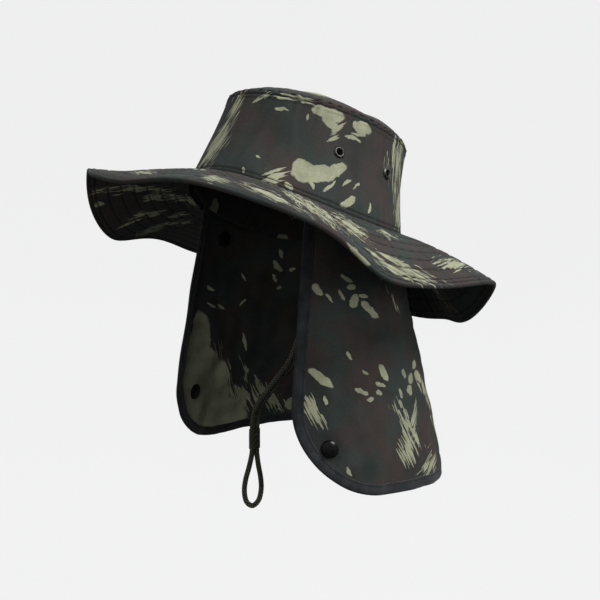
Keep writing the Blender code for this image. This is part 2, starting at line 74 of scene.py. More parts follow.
# Bumps in the brim's droop and one local tuck: (direction, height, spread).
BRIM_WAVES = (
    (radians(88), 0.0365, radians(32)),
    (radians(125), -0.0095, radians(20)),
    (radians(150), 0.0250, radians(20)),
    (radians(180), 0.0200, radians(25)),
    (radians(240), -0.0080, radians(28)),
    (radians(305), 0.0240, radians(14)),
    (radians(325), -0.0240, radians(22)),
)
BRIM_TUCK = (radians(337), 0.0095, radians(19))
BRIM_THICKNESS = 0.0030
BRIM_TURN_IN = -0.012         # share where the brim ends, inside the crown wall

CURTAIN_INSET = 0.0034
SWEATBAND_INSET = 0.0048
SWEATBAND_RISE = 0.027
CURTAIN_START = radians(60)
CURTAIN_SWEEP = radians(120)
HEM_FRONT_Y = -0.0825
HEM_FRONT_X = 0.0815
HEM_HALF_WIDTH = 0.1105
HEM_BACK_Y = 0.136
HEM_BACK_Z = -0.194
HEM_SIDE_LENGTH = 0.0885
HEM_REAR_LENGTH = 0.1945
TOP_HALF_LENGTH = 0.188
HEM_HALF_LENGTH = HEM_SIDE_LENGTH + HEM_REAR_LENGTH
CLOTH_HALF = 0.0009           # half the thickness of the curtain's two layers
LOBES = {
    "left": {"side": 1, "drop": 0.038, "drop_from": 0.53, "drop_to": 1.04,
             "corner_width": 0.083, "corner_height": 0.076, "snap_above_hem": 0.0395},
    "right": {"side": -1, "drop": 0.0145, "drop_from": 0.28, "drop_to": 0.68,
              "corner_width": 0.075, "corner_height": 0.069, "snap_above_hem": 0.046},
}
YOKE_ABOVE = 0.008
YOKE_BELOW = 0.003
CURTAIN_TOP_FALL = 0.012      # the curtain's cloth starts just inside the yoke's lower edge

SNAP_RADIUS = 0.0073
SNAP_FROM_FRONT = 0.030
UPPER_SNAP_FROM_FRONT = 0.033
UPPER_SNAP_BELOW_SEAM = 0.0172
UPPER_SNAP_BACK_RADIUS = 0.0046

EYELET_DIRECTIONS = (radians(74.5), radians(111.5))
EYELET_RISES = (0.042, 0.042)
EYELET_FLANGE_RADIUS = 0.0053
EYELET_BORE_RADIUS = 0.0026
EYELET_HOLE_RADIUS = 0.0036

CORD_DIAMETER = 0.0044
# The two strands side by side: the point midway between them and half their spacing.
CORD_ROUTE = (
    (0.0668, -0.0405, -0.0170, 0.0024), (0.0660, -0.0406, -0.0300, 0.0024),
    (0.0647, -0.0412, -0.0500, 0.0024), (0.0631, -0.0421, -0.0700, 0.0024),
    (0.0607, -0.0435, -0.0900, 0.0024), (0.0563, -0.0454, -0.1090, 0.0024),
    (0.0477, -0.0477, -0.1270, 0.0024), (0.0375, -0.0489, -0.1385, 0.0024),
    (0.0246, -0.0496, -0.1505, 0.0024), (0.0120, -0.0500, -0.1625, 0.0024),
    (0.0062, -0.0500, -0.1700, 0.0024), (0.0030, -0.0500, -0.1780, 0.0024),
    (0.0018, -0.0500, -0.1880, 0.0024), (0.0018, -0.0500, -0.1980, 0.0024),
    (0.0016, -0.0500, -0.2070, 0.0025), (0.0008, -0.0500, -0.2180, 0.0048),
    (-0.0001, -0.0500, -0.2290, 0.0079), (-0.0006, -0.0500, -0.2390, 0.0089),
    (-0.0008, -0.0500, -0.2480, 0.0064), (-0.0008, -0.0500, -0.2520, 0.0),
)
KEEPER_TOP = -0.1870
KEEPER_LENGTH = 0.0165

# Stitching: distance in from the brim's edge, and up from the crown's base seam.
BRIM_STITCH_ROWS = (0.0024, 0.0066, 0.0180, 0.0300, 0.0420, 0.0540, 0.0660, 0.0780)
CROWN_BASE_STITCHES = (0.0014, 0.0046)
TIP_STITCH_BELOW = 0.0034
BINDING_STITCH_IN = 0.0069
STITCH_LENGTH = 0.0026
THREAD_RADIUS = 0.00026

# Cloth thicknesses, how far the crown wall starts below its seam, the curtain's longest
# drop, and the folded tape's outline as (distance in from the cloth's edge, lift).
CROWN_CLOTH = 0.0009
BRIM_CLOTH = 0.0008
CROWN_TUCK_IN = 0.0006
CURTAIN_LENGTH = 0.225
BINDING_PROFILE = (
    (0.0085, 0.00095), (0.0084, 0.00135), (0.0076, 0.00150), (0.0069, 0.00128),
    (0.0062, 0.00150), (0.0040, 0.00165), (0.0018, 0.00160), (0.0006, 0.00120),
    (0.0001, 0.00060), (0.0000, 0.0),
)

# Heights of the cloth's relief, and the widths of a quilting groove and of its shade.
DENT = 0.0011
FINE_DENT = 0.0004
TIP_PUCKER = 0.00050
BASE_PUCKER = 0.00035
SEAM_FOLD = 0.00045
BRIM_GROOVE = 0.00075
BRIM_PUCKER = 0.00022
BRIM_EDGE_FOLD = 0.0004
CURTAIN_FOLD = 0.0026
CURTAIN_CREASE = 0.0006
HEM_PUCKER = 0.00022
GROOVE_WIDTH = 0.0010
SHADE_WIDTH = 0.00075

# Radii and lengths that turn a direction or a share into a distance along the cloth.
CROWN_MEAN_RADIUS = 0.085
CROWN_CLOTH_RADIUS = 0.0935
LINING_CLOTH_RADIUS = 0.09
TIP_MEAN_RADIUS = 0.077
YOKE_CLOTH_HALF = 0.2
MEAN_DROP = 0.22

# Thread, braid, whipping and tab. STITCH_FILL is the share of a stitch that is thread.
STITCH_FILL = 0.74
BRAID_GIRTH = 0.0138
BRAID_PITCH = 0.0105
KEEPER_TURNS = 18
KEEPER_THREAD_RADIUS = 0.00048
TAB_THICKNESS = 0.0046
TAB_WIDTH = 0.0122
TAB_TURN = radians(20)

# Colours of the print and of the braid; the braid's darker colour is painted shade for the
# hollows between its yarns.
GREEN = (0.030, 0.038, 0.035, 1)
BROWN = (0.041, 0.032, 0.030, 1)
SHADE = (0.019, 0.022, 0.021, 1)
KHAKI = (0.315, 0.325, 0.222, 1)
KHAKI_DARK = (0.215, 0.222, 0.152, 1)
BRAID_HOLLOW_SHADE = (0.014, 0.015, 0.011, 1)
BRAID_PALE = (0.165, 0.170, 0.122, 1)

# Camera: level with the middle of the hat, in front of the wearer's left.
CAMERA_AZIMUTH = radians(50)
CAMERA_ELEVATION = radians(-3)
CAMERA_DISTANCE = 1.0
CAMERA_LENS = 69.47
CAMERA_AIM = (0.0006, 0.0007, -0.0802)

# Light: world strength below and above the horizon, then (name, place, size, power).
FILL_BELOW = 0.06
FILL_ABOVE = 0.45
LIGHT_AIM = (0, 0, -0.03)
AREA_LIGHTS = (
    ("key_light", (1.6, 0.9, 1.6), 1.2, 40),
    ("top_light", (0.0, -0.3, 2.3), 1.5, 30),
    ("side_light", (2.1, 0.3, 0.2), 1.0, 17),
    ("front_light", (1.2, -2.0, 0.2), 1.5, 9),
    ("back_light", (-1.7, 1.5, 0.9), 1.5, 12),
)


# ------------------------------------------------------------ small maths
class Ripple:
    """Smooth random relief: a seeded sum of waves with wavelengths in a given range."""

    def __init__(self, seed, shortest, longest, count=14, stretch=1.0):
        random = np.random.default_rng(seed)
        wavelength = random.uniform(shortest, longest, count)
        heading = random.uniform(0, 2 * pi, count)
        self.ku = 2 * pi * np.cos(heading) / wavelength
        self.kv = 2 * pi * np.sin(heading) / wavelength / stretch
        self.phase = random.uniform(0, 2 * pi, count)

    def __call__(self, u, v=0.0):
        u, v = np.broadcast_arrays(u, v)
        total = np.zeros(u.shape)
        for ku, kv, phase in zip(self.ku, self.kv, self.phase):
            total += np.sin(ku * u + kv * v + phase)
        return total * (2 / len(self.phase)) ** 0.5


class RingRipple(Ripple):
    """Relief round a closed ring: whole waves per turn between two counts."""

    def __init__(self, seed, fewest, most, count=16):
        random = np.random.default_rng(seed)
        self.ku = random.integers(fewest, most, count)
        self.phase = random.uniform(0, 2 * pi, count)
        self.kv = random.uniform(-40, 40, count)


def smooth(value):
    value = np.clip(value, 0.0, 1.0)
    return value * value * (3 - 2 * value)


def bell(distance, width):
    return np.exp(-(distance / width) ** 2)


def swell(direction, centre, height, spread):
    """A smooth bump centred on one direction round the hat."""
    return height * bell((direction - centre + pi) % (2 * pi) - pi, spread)


def stack(*values):
    return np.stack(np.broadcast_arrays(*values), axis=-1)


def grid(first, second):
    return np.meshgrid(first, second, indexing="ij")


def unit(vectors):
    return vectors / np.linalg.norm(vectors, axis=-1, keepdims=True)


def normals_of(surface, u, v, step=1e-4):
    across = surface(u + step, v) - surface(u - step, v)
    along = surface(u, v + step) - surface(u, v - step)
    return unit(np.cross(across, along))


def distance_along(points):
    return np.concatenate([[0], np.cumsum(np.linalg.norm(np.diff(points, axis=0), axis=1))])


def sample(points, reach, where):
    """The points, whose distances along are reach, read at other distances."""
    return np.stack([np.interp(where, reach, column) for column in points.T], -1)


# --------------------------------------------------------------- surfaces
def plumb(point):
    """From the hat's own axes to the world: the hat leans back."""
    x, y, z = point[..., 0], point[..., 1], point[..., 2]
    return stack(x, y * cos(LEAN_BACK) + z * sin(LEAN_BACK),
                 -y * sin(LEAN_BACK) + z * cos(LEAN_BACK))


def head_length(direction):
    return np.where(np.cos(direction) > 0, HEAD_FRONT, HEAD_BACK)


def tip_length(direction):
    return np.where(np.cos(direction) > 0, TIP_FRONT, TIP_BACK)


def outward(direction):
    x = np.sin(direction) / HEAD_HALF_WIDTH
    y = -np.cos(direction) / head_length(direction)
    size = np.hypot(x, y)
    return x / size, y / size


def crown_wall(direction, rise, inset=0.0):
    """The plain crown wall in the hat's own axes, moved in by inset."""
    share = rise / CROWN_WALL
    half_width = HEAD_HALF_WIDTH + (TIP_HALF_WIDTH - HEAD_HALF_WIDTH) * share
    foot = head_length(direction)
    half_length = foot + (tip_length(direction) - foot) * share
    seam_height = -SEAM_SADDLE * np.sin(direction) ** 2
    across, forward = outward(direction)
    inwards = inset + CROWN_WAIST * np.sin(pi * np.clip(share, 0, 1))
    return stack(half_width * np.sin(direction) - across * inwards,
                 -half_length * np.cos(direction) - forward * inwards,
                 seam_height + (CROWN_WALL - seam_height) * share)


crown_dents = RingRipple(3, 2, 9)
crown_dents_fine = RingRipple(4, 9, 22)
tip_puckers = RingRipple(5, 45, 90, 24)
base_puckers = RingRipple(6, 40, 80, 24)


def crown_relief(direction, rise):
    """How far the sewn crown wall stands off the plain one."""
    below_tip = CROWN_WALL - rise
    middle = np.sin(np.clip(rise / CROWN_WALL, 0, 1) * pi)
    relief = middle * (DENT * crown_dents(direction, rise)
                       + FINE_DENT * crown_dents_fine(direction, rise))
    relief = relief + TIP_PUCKER * np.exp(-below_tip / 0.010) * tip_puckers(direction, rise)
    relief = relief + BASE_PUCKER * np.exp(-np.abs(rise) / 0.009) * base_puckers(direction, rise)
    relief = relief + SEAM_FOLD * smooth((0.0075 - below_tip) / 0.002)
    relief = relief - SEAM_FOLD * bell(below_tip - TIP_STITCH_BELOW, GROOVE_WIDTH)
    relief = relief - 0.00110 * smooth((0.0014 - below_tip) / 0.0014)
    for row in CROWN_BASE_STITCHES:
        relief = relief - BASE_PUCKER * bell(rise - row, GROOVE_WIDTH)
    for eyelet, height in zip(EYELET_DIRECTIONS, EYELET_RISES):
        for side in (1, -1):
            away = (direction - side * eyelet) * CROWN_MEAN_RADIUS
            relief = relief * (1 - bell(np.hypot(away, rise - height), 0.009))
    return relief


def crown_surface(direction, rise, inset=0.0):
    return plumb(crown_wall(direction, rise, inset - crown_relief(direction, rise)))


tip_waves = Ripple(8, 0.03, 0.08)


def tip_surface(direction, share, lift=0.0):
    """The domed top panel: share runs from the centre (0) to its seam (1)."""
    from_edge = (1 - share) * TIP_MEAN_RADIUS
    x = TIP_HALF_WIDTH * share * np.sin(direction)
    y = -tip_length(direction) * share * np.cos(direction)
    height = CROWN_WALL + lift + TIP_DOME * (1 - share ** TIP_FLATNESS)
    height = height + 0.0009 * tip_waves(x, y) * (1 - share ** 4)
    height = height + SEAM_FOLD * np.exp(-from_edge / 0.009) * tip_puckers(direction, -from_edge)
    height = height - 0.0010 * smooth((0.0013 - from_edge) / 0.0013)
    return plumb(stack(x, y, height))


brim_waves = RingRipple(11, 5, 16)
brim_puckers = RingRipple(12, 70, 150, 28)


def brim_middle(direction, share):
    """The brim's middle surface: share runs from the seam (0) to the edge (1)."""
    seam = crown_wall(direction, 0.0)
    droop = BRIM_DROOP + sum(swell(direction, *wave) for wave in BRIM_WAVES)
    fall = droop + seam[..., 2]
    reach = np.sqrt(BRIM_WIDTH ** 2 - fall ** 2) - swell(direction, *BRIM_TUCK)
    across, forward = outward(direction)
    bent = np.maximum(share, 0.0)
    lift = 0.0014 * brim_waves(direction) * bent ** 2 - BRIM_THICKNESS / 2 - 0.0002
    return plumb(stack(seam[..., 0] + across * reach * share,
                       seam[..., 1] + forward * reach * share,
                       seam[..., 2] - fall * bent ** BRIM_ROLL + lift))


def groove_depth(distance, rows, width=SHADE_WIDTH):
    """1 on a stitch row, 0 away from it."""
    return sum(bell(distance - row, width) for row in rows)


def brim_quilting(direction, share):
    """Relief of one brim face: it dips along each stitch row and puckers between rows."""
    from_edge = (1 - share) * BRIM_WIDTH
    relief = BRIM_PUCKER * brim_puckers(direction, share * 0.01) * smooth(from_edge / 0.002)
    relief = relief - BRIM_GROOVE * groove_depth(from_edge, BRIM_STITCH_ROWS, GROOVE_WIDTH)
    return relief + BRIM_EDGE_FOLD * smooth((0.0078 - from_edge) / 0.0010)


def brim_face(direction, share, face, lift=0.0):
    """Upper (face 1) or lower (face -1) face of the sewn brim."""
    normal = -normals_of(brim_middle, direction, share)
    depth = BRIM_THICKNESS / 2 + brim_quilting(direction, share) + lift
    return brim_middle(direction, share) + normal * (face * depth)[..., None]


def hem_point(lobe, share):
    run = share * HEM_HALF_LENGTH
    ahead = np.clip(1 - run / HEM_SIDE_LENGTH, 0, None)
    turn = np.clip((run - HEM_SIDE_LENGTH) / HEM_REAR_LENGTH, 0, None) * pi / 2
    x = np.where(ahead > 0, HEM_HALF_WIDTH - (HEM_HALF_WIDTH - HEM_FRONT_X) * ahead ** 2,
                 HEM_HALF_WIDTH * np.cos(turn))
    y = np.where(ahead > 0, HEM_FRONT_Y * ahead, HEM_BACK_Y * np.sin(turn))
    blend = smooth((lobe["drop_to"] - share) / (lobe["drop_to"] - lobe["drop_from"]))
    return stack(lobe["side"] * x, y, HEM_BACK_Z - lobe["drop"] * blend)


def curtain_top(lobe, share, rise=0.0):
    direction = CURTAIN_START + CURTAIN_SWEEP * share
    point = plumb(crown_wall(direction, rise, CURTAIN_INSET))
    return point * np.array([lobe["side"], 1, 1])


def curtain_plain(lobe, share, fall):
    top = curtain_top(lobe, share)
    return top + (hem_point(lobe, share) - top) * np.asarray(fall)[..., None]


curtain_folds = {1: Ripple(21, 0.07, 0.19, 10, 3.0), -1: Ripple(29, 0.07, 0.19, 10, 3.0)}
curtain_creases = {1: Ripple(22, 0.018, 0.05, 18, 1.6), -1: Ripple(23, 0.018, 0.05, 18, 1.6)}
hem_puckers = Ripple(24, 0.007, 0.013, 12)


def curtain_surface(lobe, share, fall, lift=0.0):
    """The hanging curtain: soft vertical folds, small creases, puckers along the hem."""
    share, fall = np.broadcast_arrays(np.asarray(share, float), np.asarray(fall, float))
    side = lobe["side"]

    def plain(u, v):
        return curtain_plain(lobe, u, v)

    normal = normals_of(plain, share, fall) * -side
    run = share * HEM_HALF_LENGTH
    down = fall * MEAN_DROP
    free = smooth((fall - 0.03) / 0.35)
    nape = smooth(share * 8) * smooth((1 - share) * 6)
    relief = free * (CURTAIN_FOLD * nape * curtain_folds[side](run, down)
                     + CURTAIN_CREASE * curtain_creases[side](run, down))
    from_hem = (1 - fall) * MEAN_DROP
    relief = relief + HEM_PUCKER * np.exp(-from_hem / 0.012) * hem_puckers(run, down)
    return plain(share, fall) + normal * (relief + lift)[..., None]


def column_length(lobe, share):
    return np.linalg.norm(hem_point(lobe, share) - curtain_top(lobe, share), axis=-1)


def half_length(fall):
    return TOP_HALF_LENGTH + (HEM_HALF_LENGTH - TOP_HALF_LENGTH) * fall


def lobe_surface(lobe, from_front, fall, lift=0.0):
    return curtain_surface(lobe, from_front / half_length(fall), fall, lift)


def lobe_bottom(lobe, from_front, inset):
    width, height = lobe["corner_width"], lobe["corner_height"]
    reach = np.clip((width - from_front) / (width - inset), 0, 1)
    above = np.where(from_front < width,
                     height - (height - inset) * np.sqrt(1 - reach * reach), inset)
    return 1 - above / column_length(lobe, from_front / HEM_HALF_LENGTH)


# ----------------------------------------------------------------- meshes
def new_object(name, data, material=None):
    piece = bpy.data.objects.new(name, data)
    bpy.context.collection.objects.link(piece)
    if material:
        data.materials.append(material)
    return piece


def attach(piece, body, slot, *nodes):
    """Says which body the piece rides on and hides the nodes it stands for; the slot argument is
    not used.
    """
    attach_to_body(piece, body)
    if nodes:
        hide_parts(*nodes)
    return piece


def grid_object(name, points, uvs, material, closed=False, thickness=0.0, offset=-1.0,
                flip=False, painted_groove_shade=None):
    """Cloth from a grid of points; uvs has one more column than points when it is closed.

    The last argument gives, point by point, how deep (0 to 1) the cloth lies in the dip along a
    stitch row; it is stored as the "seam" attribute, which the camo material turns into painted
    shade.
    """
    columns, rows = points.shape[:2]
    i, k = grid(np.arange(columns if closed else columns - 1), np.arange(rows - 1))
    j = (i + 1) % columns
    quads = np.stack([i * rows + k, j * rows + k, j * rows + k + 1, i * rows + k + 1], -1)
    corners = np.stack([uvs[i, k], uvs[i + 1, k], uvs[i + 1, k + 1], uvs[i, k + 1]], -2)
    quads = quads.reshape(-1, 4)
    corners = corners.reshape(-1, 4, 2)
    if flip:
        quads = quads[:, ::-1]
        corners = corners[:, ::-1]
    mesh = bpy.data.meshes.new(name)
    mesh.from_pydata(points.reshape(-1, 3).tolist(), [], quads.tolist())
    layer = mesh.uv_layers.new(name="UVMap")
    layer.data.foreach_set("uv", corners.reshape(-1).astype(np.float32))
    if painted_groove_shade is not None:
        # Painted shade: the depth along the stitch rows is kept on the mesh for the camo
        # material.
        groove_shade = mesh.attributes.new("seam", "FLOAT", "POINT")
        groove_shade.data.foreach_set("value", np.asarray(painted_groove_shade).reshape(-1).astype(np.float32))
    mesh.shade_smooth()
    piece = new_object(name, mesh, material)
    if thickness:
        solid = piece.modifiers.new("cloth", "SOLIDIFY")
        solid.thickness = thickness
        solid.offset = offset
        solid.use_even_offset = False
    return piece


def finished_mesh(builder, name):
    mesh = bpy.data.meshes.new(name)
    builder.to_mesh(mesh)
    builder.free()
    mesh.shade_smooth()
    return mesh


def spun_mesh(name, profile, segments, closed=True):
    """The profile's (radius, height) points turned about the Z axis."""
    builder = bmesh.new()
    ring = [builder.verts.new((radius, 0, height)) for radius, height in profile]
    pairs = zip(ring, ring[1:] + (ring[:1] if closed else []))
    edges = [builder.edges.new(pair) for pair in pairs if pair[0].co.x > 0 or pair[1].co.x > 0]
    bmesh.ops.spin(builder, geom=ring + edges, cent=(0, 0, 0), axis=(0, 0, 1),
                   angle=2 * pi, steps=segments, use_merge=True)
    bmesh.ops.remove_doubles(builder, verts=builder.verts, dist=1e-7)
    bmesh.ops.recalc_face_normals(builder, faces=builder.faces)
    return finished_mesh(builder, name)


def turned_object(name, profile, material, place, segments=64):
    """A piece turned about its own Z axis and placed by a world matrix."""
    mesh = spun_mesh(name, profile, segments)
    mesh.set_sharp_from_angle(angle=radians(50))
    piece = new_object(name, mesh, material)
    piece.matrix_world = place
    return piece


def frame_at(point, normal):
    turn = Vector(normal).to_track_quat("Z", "Y").to_matrix().to_4x4()
    return Matrix.Translation(Vector(point)) @ turn


# One stitch: rings at (place along it, size, height over the cloth), 1 being its radius.
STITCH_RINGS = ((-0.5, 0.35, -0.9), (-0.33, 0.95, 0.15), (0.0, 1.0, 0.45),
                (0.33, 0.95, 0.15), (0.5, 0.35, -0.9))
STITCH_SIDES = 6


def stitch_beads(points, normals):
    """The points of one run's stitches: (stitch, point of the stitch, 3)."""
    reach = distance_along(points)
    count = max(int(reach[-1] / STITCH_LENGTH), 1)
    mids = (np.arange(count) + 0.5) * reach[-1] / count
    ahead = unit(sample(points, reach, mids + STITCH_LENGTH * 0.3)
                 - sample(points, reach, mids - STITCH_LENGTH * 0.3))
    up = unit(sample(normals, reach, mids))
    across = np.cross(ahead, up)
    centre = sample(points, reach, mids)
    beads = []
    for along, size, height in STITCH_RINGS:
        for angle in np.arange(STITCH_SIDES) * 2 * pi / STITCH_SIDES:
            beads.append(centre + ahead * (along * STITCH_LENGTH * STITCH_FILL)
                         + up * (THREAD_RADIUS * (height + size * sin(angle)))
                         + across * (THREAD_RADIUS * size * cos(angle)))
    return np.stack(beads, 1)


def stitch_mesh(name, runs, material):
    """Thread: one small bead of thread per stitch, along runs of (points, normals)."""
    beads = np.concatenate([stitch_beads(points, normals) for points, normals in runs])
    base = np.arange(len(beads)) * beads.shape[1]
    faces = []
    for ring in range(len(STITCH_RINGS) - 1):
        for step in range(STITCH_SIDES):
            a = base + ring * STITCH_SIDES + step
            b = base + ring * STITCH_SIDES + (step + 1) % STITCH_SIDES
            faces.append(np.stack([a, b, b + STITCH_SIDES, a + STITCH_SIDES], -1))
    mesh = bpy.data.meshes.new(name)
    mesh.from_pydata(beads.reshape(-1, 3).tolist(), [], np.concatenate(faces).tolist())
    mesh.shade_smooth()
    return new_object(name, mesh, material)


# -------------------------------------------------------------- materials
class Nodes:
    """Short names for building a node tree."""

    def __init__(self, name):
        self.material = bpy.data.materials.new(name)
        self.material.use_nodes = True
        self.tree = self.material.node_tree
        self.shader = self.tree.nodes["Principled BSDF"]

    def add(self, kind, inputs=(), **settings):
        node = self.tree.nodes.new(kind)
        for key, value in settings.items():
            setattr(node, key, value)
        for key, value in dict(inputs).items():
            self.put(node, key, value)
        return node

    def put(self, node, key, value):
        if isinstance(value, bpy.types.NodeSocket):
            self.tree.links.new(value, node.inputs[key])
        else:
            node.inputs[key].default_value = value

    def surface(self, **inputs):
        """Sets the shader's inputs, named with _ for each space, and gives the material."""
        for key, value in inputs.items():
            self.put(self.shader, key.replace("_", " "), value)
        return self.material

    def coords(self, kind="UV"):
        if kind == "UV":
            return self.add("ShaderNodeUVMap", uv_map="UVMap").outputs[0]
        return self.add("ShaderNodeTexCoord").outputs["Object"]

    def maths(self, operation, *values):
        return self.add("ShaderNodeMath", dict(enumerate(values)),
                        operation=operation).outputs[0]

    def vectors(self, operation, inputs, output=0):
        return self.add("ShaderNodeVectorMath", inputs, operation=operation).outputs[output]

    def fold(self, operation, values):
        return reduce(lambda first, second: self.maths(operation, first, second), values)

    def mix(self, factor, first, second):
        node = self.add("ShaderNodeMix", {0: factor}, data_type="RGBA")
        self.put(node, 6, first)
        self.put(node, 7, second)
        return node.outputs[2]

    def noise(self, vector, scale, detail=2.0, roughness=0.5, distortion=0.0, output="Fac"):
        node = self.add("ShaderNodeTexNoise", {"Vector": vector, "Scale": scale,
                                               "Detail": detail, "Roughness": roughness,
                                               "Distortion": distortion})
        return node.outputs[output]

    def wave(self, vector, scale, distortion, detail=2.0, detail_scale=1.0):
        node = self.add("ShaderNodeTexWave", {"Vector": vector, "Scale": scale,
                                              "Distortion": distortion, "Detail": detail,
                                              "Detail Scale": detail_scale},
                        wave_type="BANDS")
        return node.outputs["Fac"]

    def ramp(self, value, low, high, first=0.0, last=1.0):
        node = self.add("ShaderNodeMapRange", {0: value, 1: low, 2: high, 3: first, 4: last})
        return node.outputs[0]

    def mapping(self, vector, scale=(1, 1, 1), angle=0.0, location=(0, 0, 0), kind="POINT"):
        inputs = {"Vector": vector, "Location": location, "Rotation": (0, 0, angle),
                  "Scale": scale}
        return self.add("ShaderNodeMapping", inputs, vector_type=kind).outputs[0]

    def bump(self, height, distance, strength=1.0, normal=None):
        node = self.add("ShaderNodeBump", {"Height": height, "Distance": distance,
                                           "Strength": strength})
        if normal is not None:
            self.put(node, "Normal", normal)
        return node.outputs[0]


def twill_bump(nodes, coords):
    """Fine diagonal ribs with a little yarn noise."""
    ribs = nodes.wave(nodes.mapping(coords, angle=radians(62)), 380.0, 0.9, 1.0, 8.0)
    yarn = nodes.noise(coords, 2600.0)
    soft = nodes.noise(coords, 160.0, 3.0)
    first = nodes.bump(soft, 0.0006, 0.5)
    second = nodes.bump(ribs, 0.00012, 0.55, first)
    return nodes.bump(yarn, 0.00010, 0.5, second)


def mark_distance(nodes, where, mark):
    """0 at the middle of an oval mark and 1 at its edge."""
    x, y, length, width = (value / 1000 for value in mark[:4])
    spot = nodes.mapping(where, (length / 2, width / 2, 1), radians(mark[4]), (x, y, 0),
                         "TEXTURE")
    return nodes.vectors("LENGTH", {0: spot}, "Value")


def drop_mask(nodes, where, marks):
    """Solid leaf-shaped marks with slightly wavy edges."""
    nearest = nodes.fold("MINIMUM", [mark_distance(nodes, where, mark) for mark in marks])
    return nodes.ramp(nearest, 0.99, 0.87)


def brush_mask(nodes, where, straight, marks):
    """Marks broken into bundles of streaks that run along each mark."""
    families = {}
    for mark in marks:
        inside = nodes.maths("SUBTRACT", 1.0, mark_distance(nodes, where, mark))
        families.setdefault(round(mark[4] / 30) * 30 % 180, []).append(inside)
    masks = []
    for angle, values in families.items():
        turned = nodes.mapping(nodes.mapping(straight, angle=-radians(angle)), (44, 600, 1))
        streak = nodes.noise(turned, 1.0, 1.5, 0.5, 0.5)
        edge = nodes.maths("MULTIPLY_ADD", nodes.maths("SUBTRACT", streak, 0.56), 4.2,
                           nodes.fold("MAXIMUM", values))
        masks.append(nodes.ramp(edge, -0.02, 0.07))
    return nodes.fold("MAXIMUM", masks)


def shifted(nodes, coords, seed):
    return nodes.vectors("ADD", {0: coords, 1: (seed * 0.37, seed * 0.21, seed * 0.5)})


def warped(nodes, coords, seed, scale, amount):
    """The cloth coordinates bent by smooth noise."""
    warp = nodes.noise(shifted(nodes, coords, seed), scale, output="Color")
    centred = nodes.vectors("SUBTRACT", {0: warp, 1: (0.5, 0.5, 0.5)})
    return nodes.vectors("MULTIPLY_ADD", {0: centred, 1: (amount, amount, 0.0), 2: coords})


def camo_material(name, marks, seed, painted_inside_shade=1.0):
    """Printed twill: green and brown clouds under crisp khaki marks, darkened by painted shade
    along stitch rows and, for inside pieces, all over.

    Each mark is (x, y, length, width, angle in degrees) on the cloth, in millimetres.
    """
    nodes = Nodes(name)
    uv = nodes.coords()
    straight = shifted(nodes, uv, seed)
    pale = drop_mask(nodes, warped(nodes, uv, seed, 130.0, 0.0055), marks["drops"])
    streaks = brush_mask(nodes, warped(nodes, uv, seed + 1, 60.0, 0.012), straight,
                         marks["brushes"])
    pale = nodes.maths("MAXIMUM", pale, streaks)

    clouds = nodes.noise(warped(nodes, uv, seed + 2, 30.0, 0.030), 19.0 + seed)
    ground = nodes.mix(nodes.ramp(clouds, 0.40, 0.58), GREEN, BROWN)
    shade = nodes.noise(straight, 33.0, 2.0, 0.5, 0.3)
    ground = nodes.mix(nodes.ramp(shade, 0.46, 0.68, 0.0, 0.7), ground, SHADE)
    tint = nodes.noise(straight, 45.0, 3.0, 0.6)
    khaki = nodes.mix(nodes.ramp(tint, 0.38, 0.66), KHAKI, KHAKI_DARK)
    colour = nodes.mix(pale, ground, khaki)
    grain = nodes.noise(uv, 1100.0, 3.0, 0.75)
    # Painted shade: for pieces inside the hat the grain's range, and so the whole colour, is
    # scaled down.
    grain = nodes.ramp(grain, 0.28, 0.72, 0.62 * painted_inside_shade, 1.38 * painted_inside_shade)
    # Painted shade: the colour is scaled down by up to 0.62 where the cloth dips along a stitch
    # row.
    groove_shade = nodes.add("ShaderNodeAttribute", attribute_name="seam").outputs["Fac"]
    depth = nodes.maths("MULTIPLY_ADD", groove_shade, -0.62, 1.0)
    colour = nodes.vectors("SCALE", {0: colour, "Scale": grain})
    colour = nodes.vectors("SCALE", {0: colour, "Scale": depth})
    return nodes.surface(Base_Color=colour, Roughness=0.90, Specular_IOR_Level=0.16,
                         Sheen_Weight=0.07, Sheen_Roughness=0.5,
                         Sheen_Tint=(0.75, 0.80, 0.78, 1), Normal=twill_bump(nodes, uv))


def tape_material(name, colour, coords="UV", scale=1.0, sheen=0.3):
    """Plain woven tape or thread: fine crosswise ribs, slight colour change."""
    nodes = Nodes(name)
    where = nodes.coords(coords)
    ribs = nodes.wave(where, 260.0 * scale, 0.6)
    cross = nodes.noise(where, 2200.0 * scale)
    cloud = nodes.ramp(nodes.noise(where, 90.0, 3.0), 0.35, 0.70)
    lighter = tuple(min(channel * 1.9 + 0.004, 1.0) for channel in colour)
    return nodes.surface(Base_Color=nodes.mix(cloud, (*colour, 1), (*lighter, 1)),
                         Roughness=0.78, Specular_IOR_Level=0.3, Sheen_Weight=sheen,
                         Sheen_Roughness=0.4,
                         Normal=nodes.bump(cross, 0.00012, 0.6, nodes.bump(ribs, 0.00010, 0.5)))


def braid_material():
    """Olive braid: two crossing sets of yarns, pale on their crowns, with painted shade in the
    hollows between them.
    """
    nodes = Nodes("olive_braid")
    uv = nodes.coords()
    waves = [nodes.wave(nodes.mapping(uv, angle=radians(angle)), 165.0, 0.7, 1.0)
             for angle in (48, -48)]
    fuzz = nodes.maths("SUBTRACT", nodes.noise(uv, 2400.0), 0.5)
    crowns = nodes.maths("MULTIPLY_ADD", fuzz, 0.35, nodes.fold("MULTIPLY", waves))
    # Painted shade: the braid's colour darkens from its yarns' crowns into the hollows between
    # them.
    colour = nodes.mix(nodes.ramp(crowns, 0.12, 0.70), BRAID_HOLLOW_SHADE, BRAID_PALE)
    return nodes.surface(Base_Color=colour, Roughness=0.82, Specular_IOR_Level=0.22,
                         Sheen_Weight=0.08, Normal=nodes.bump(crowns, 0.0005, 0.8))


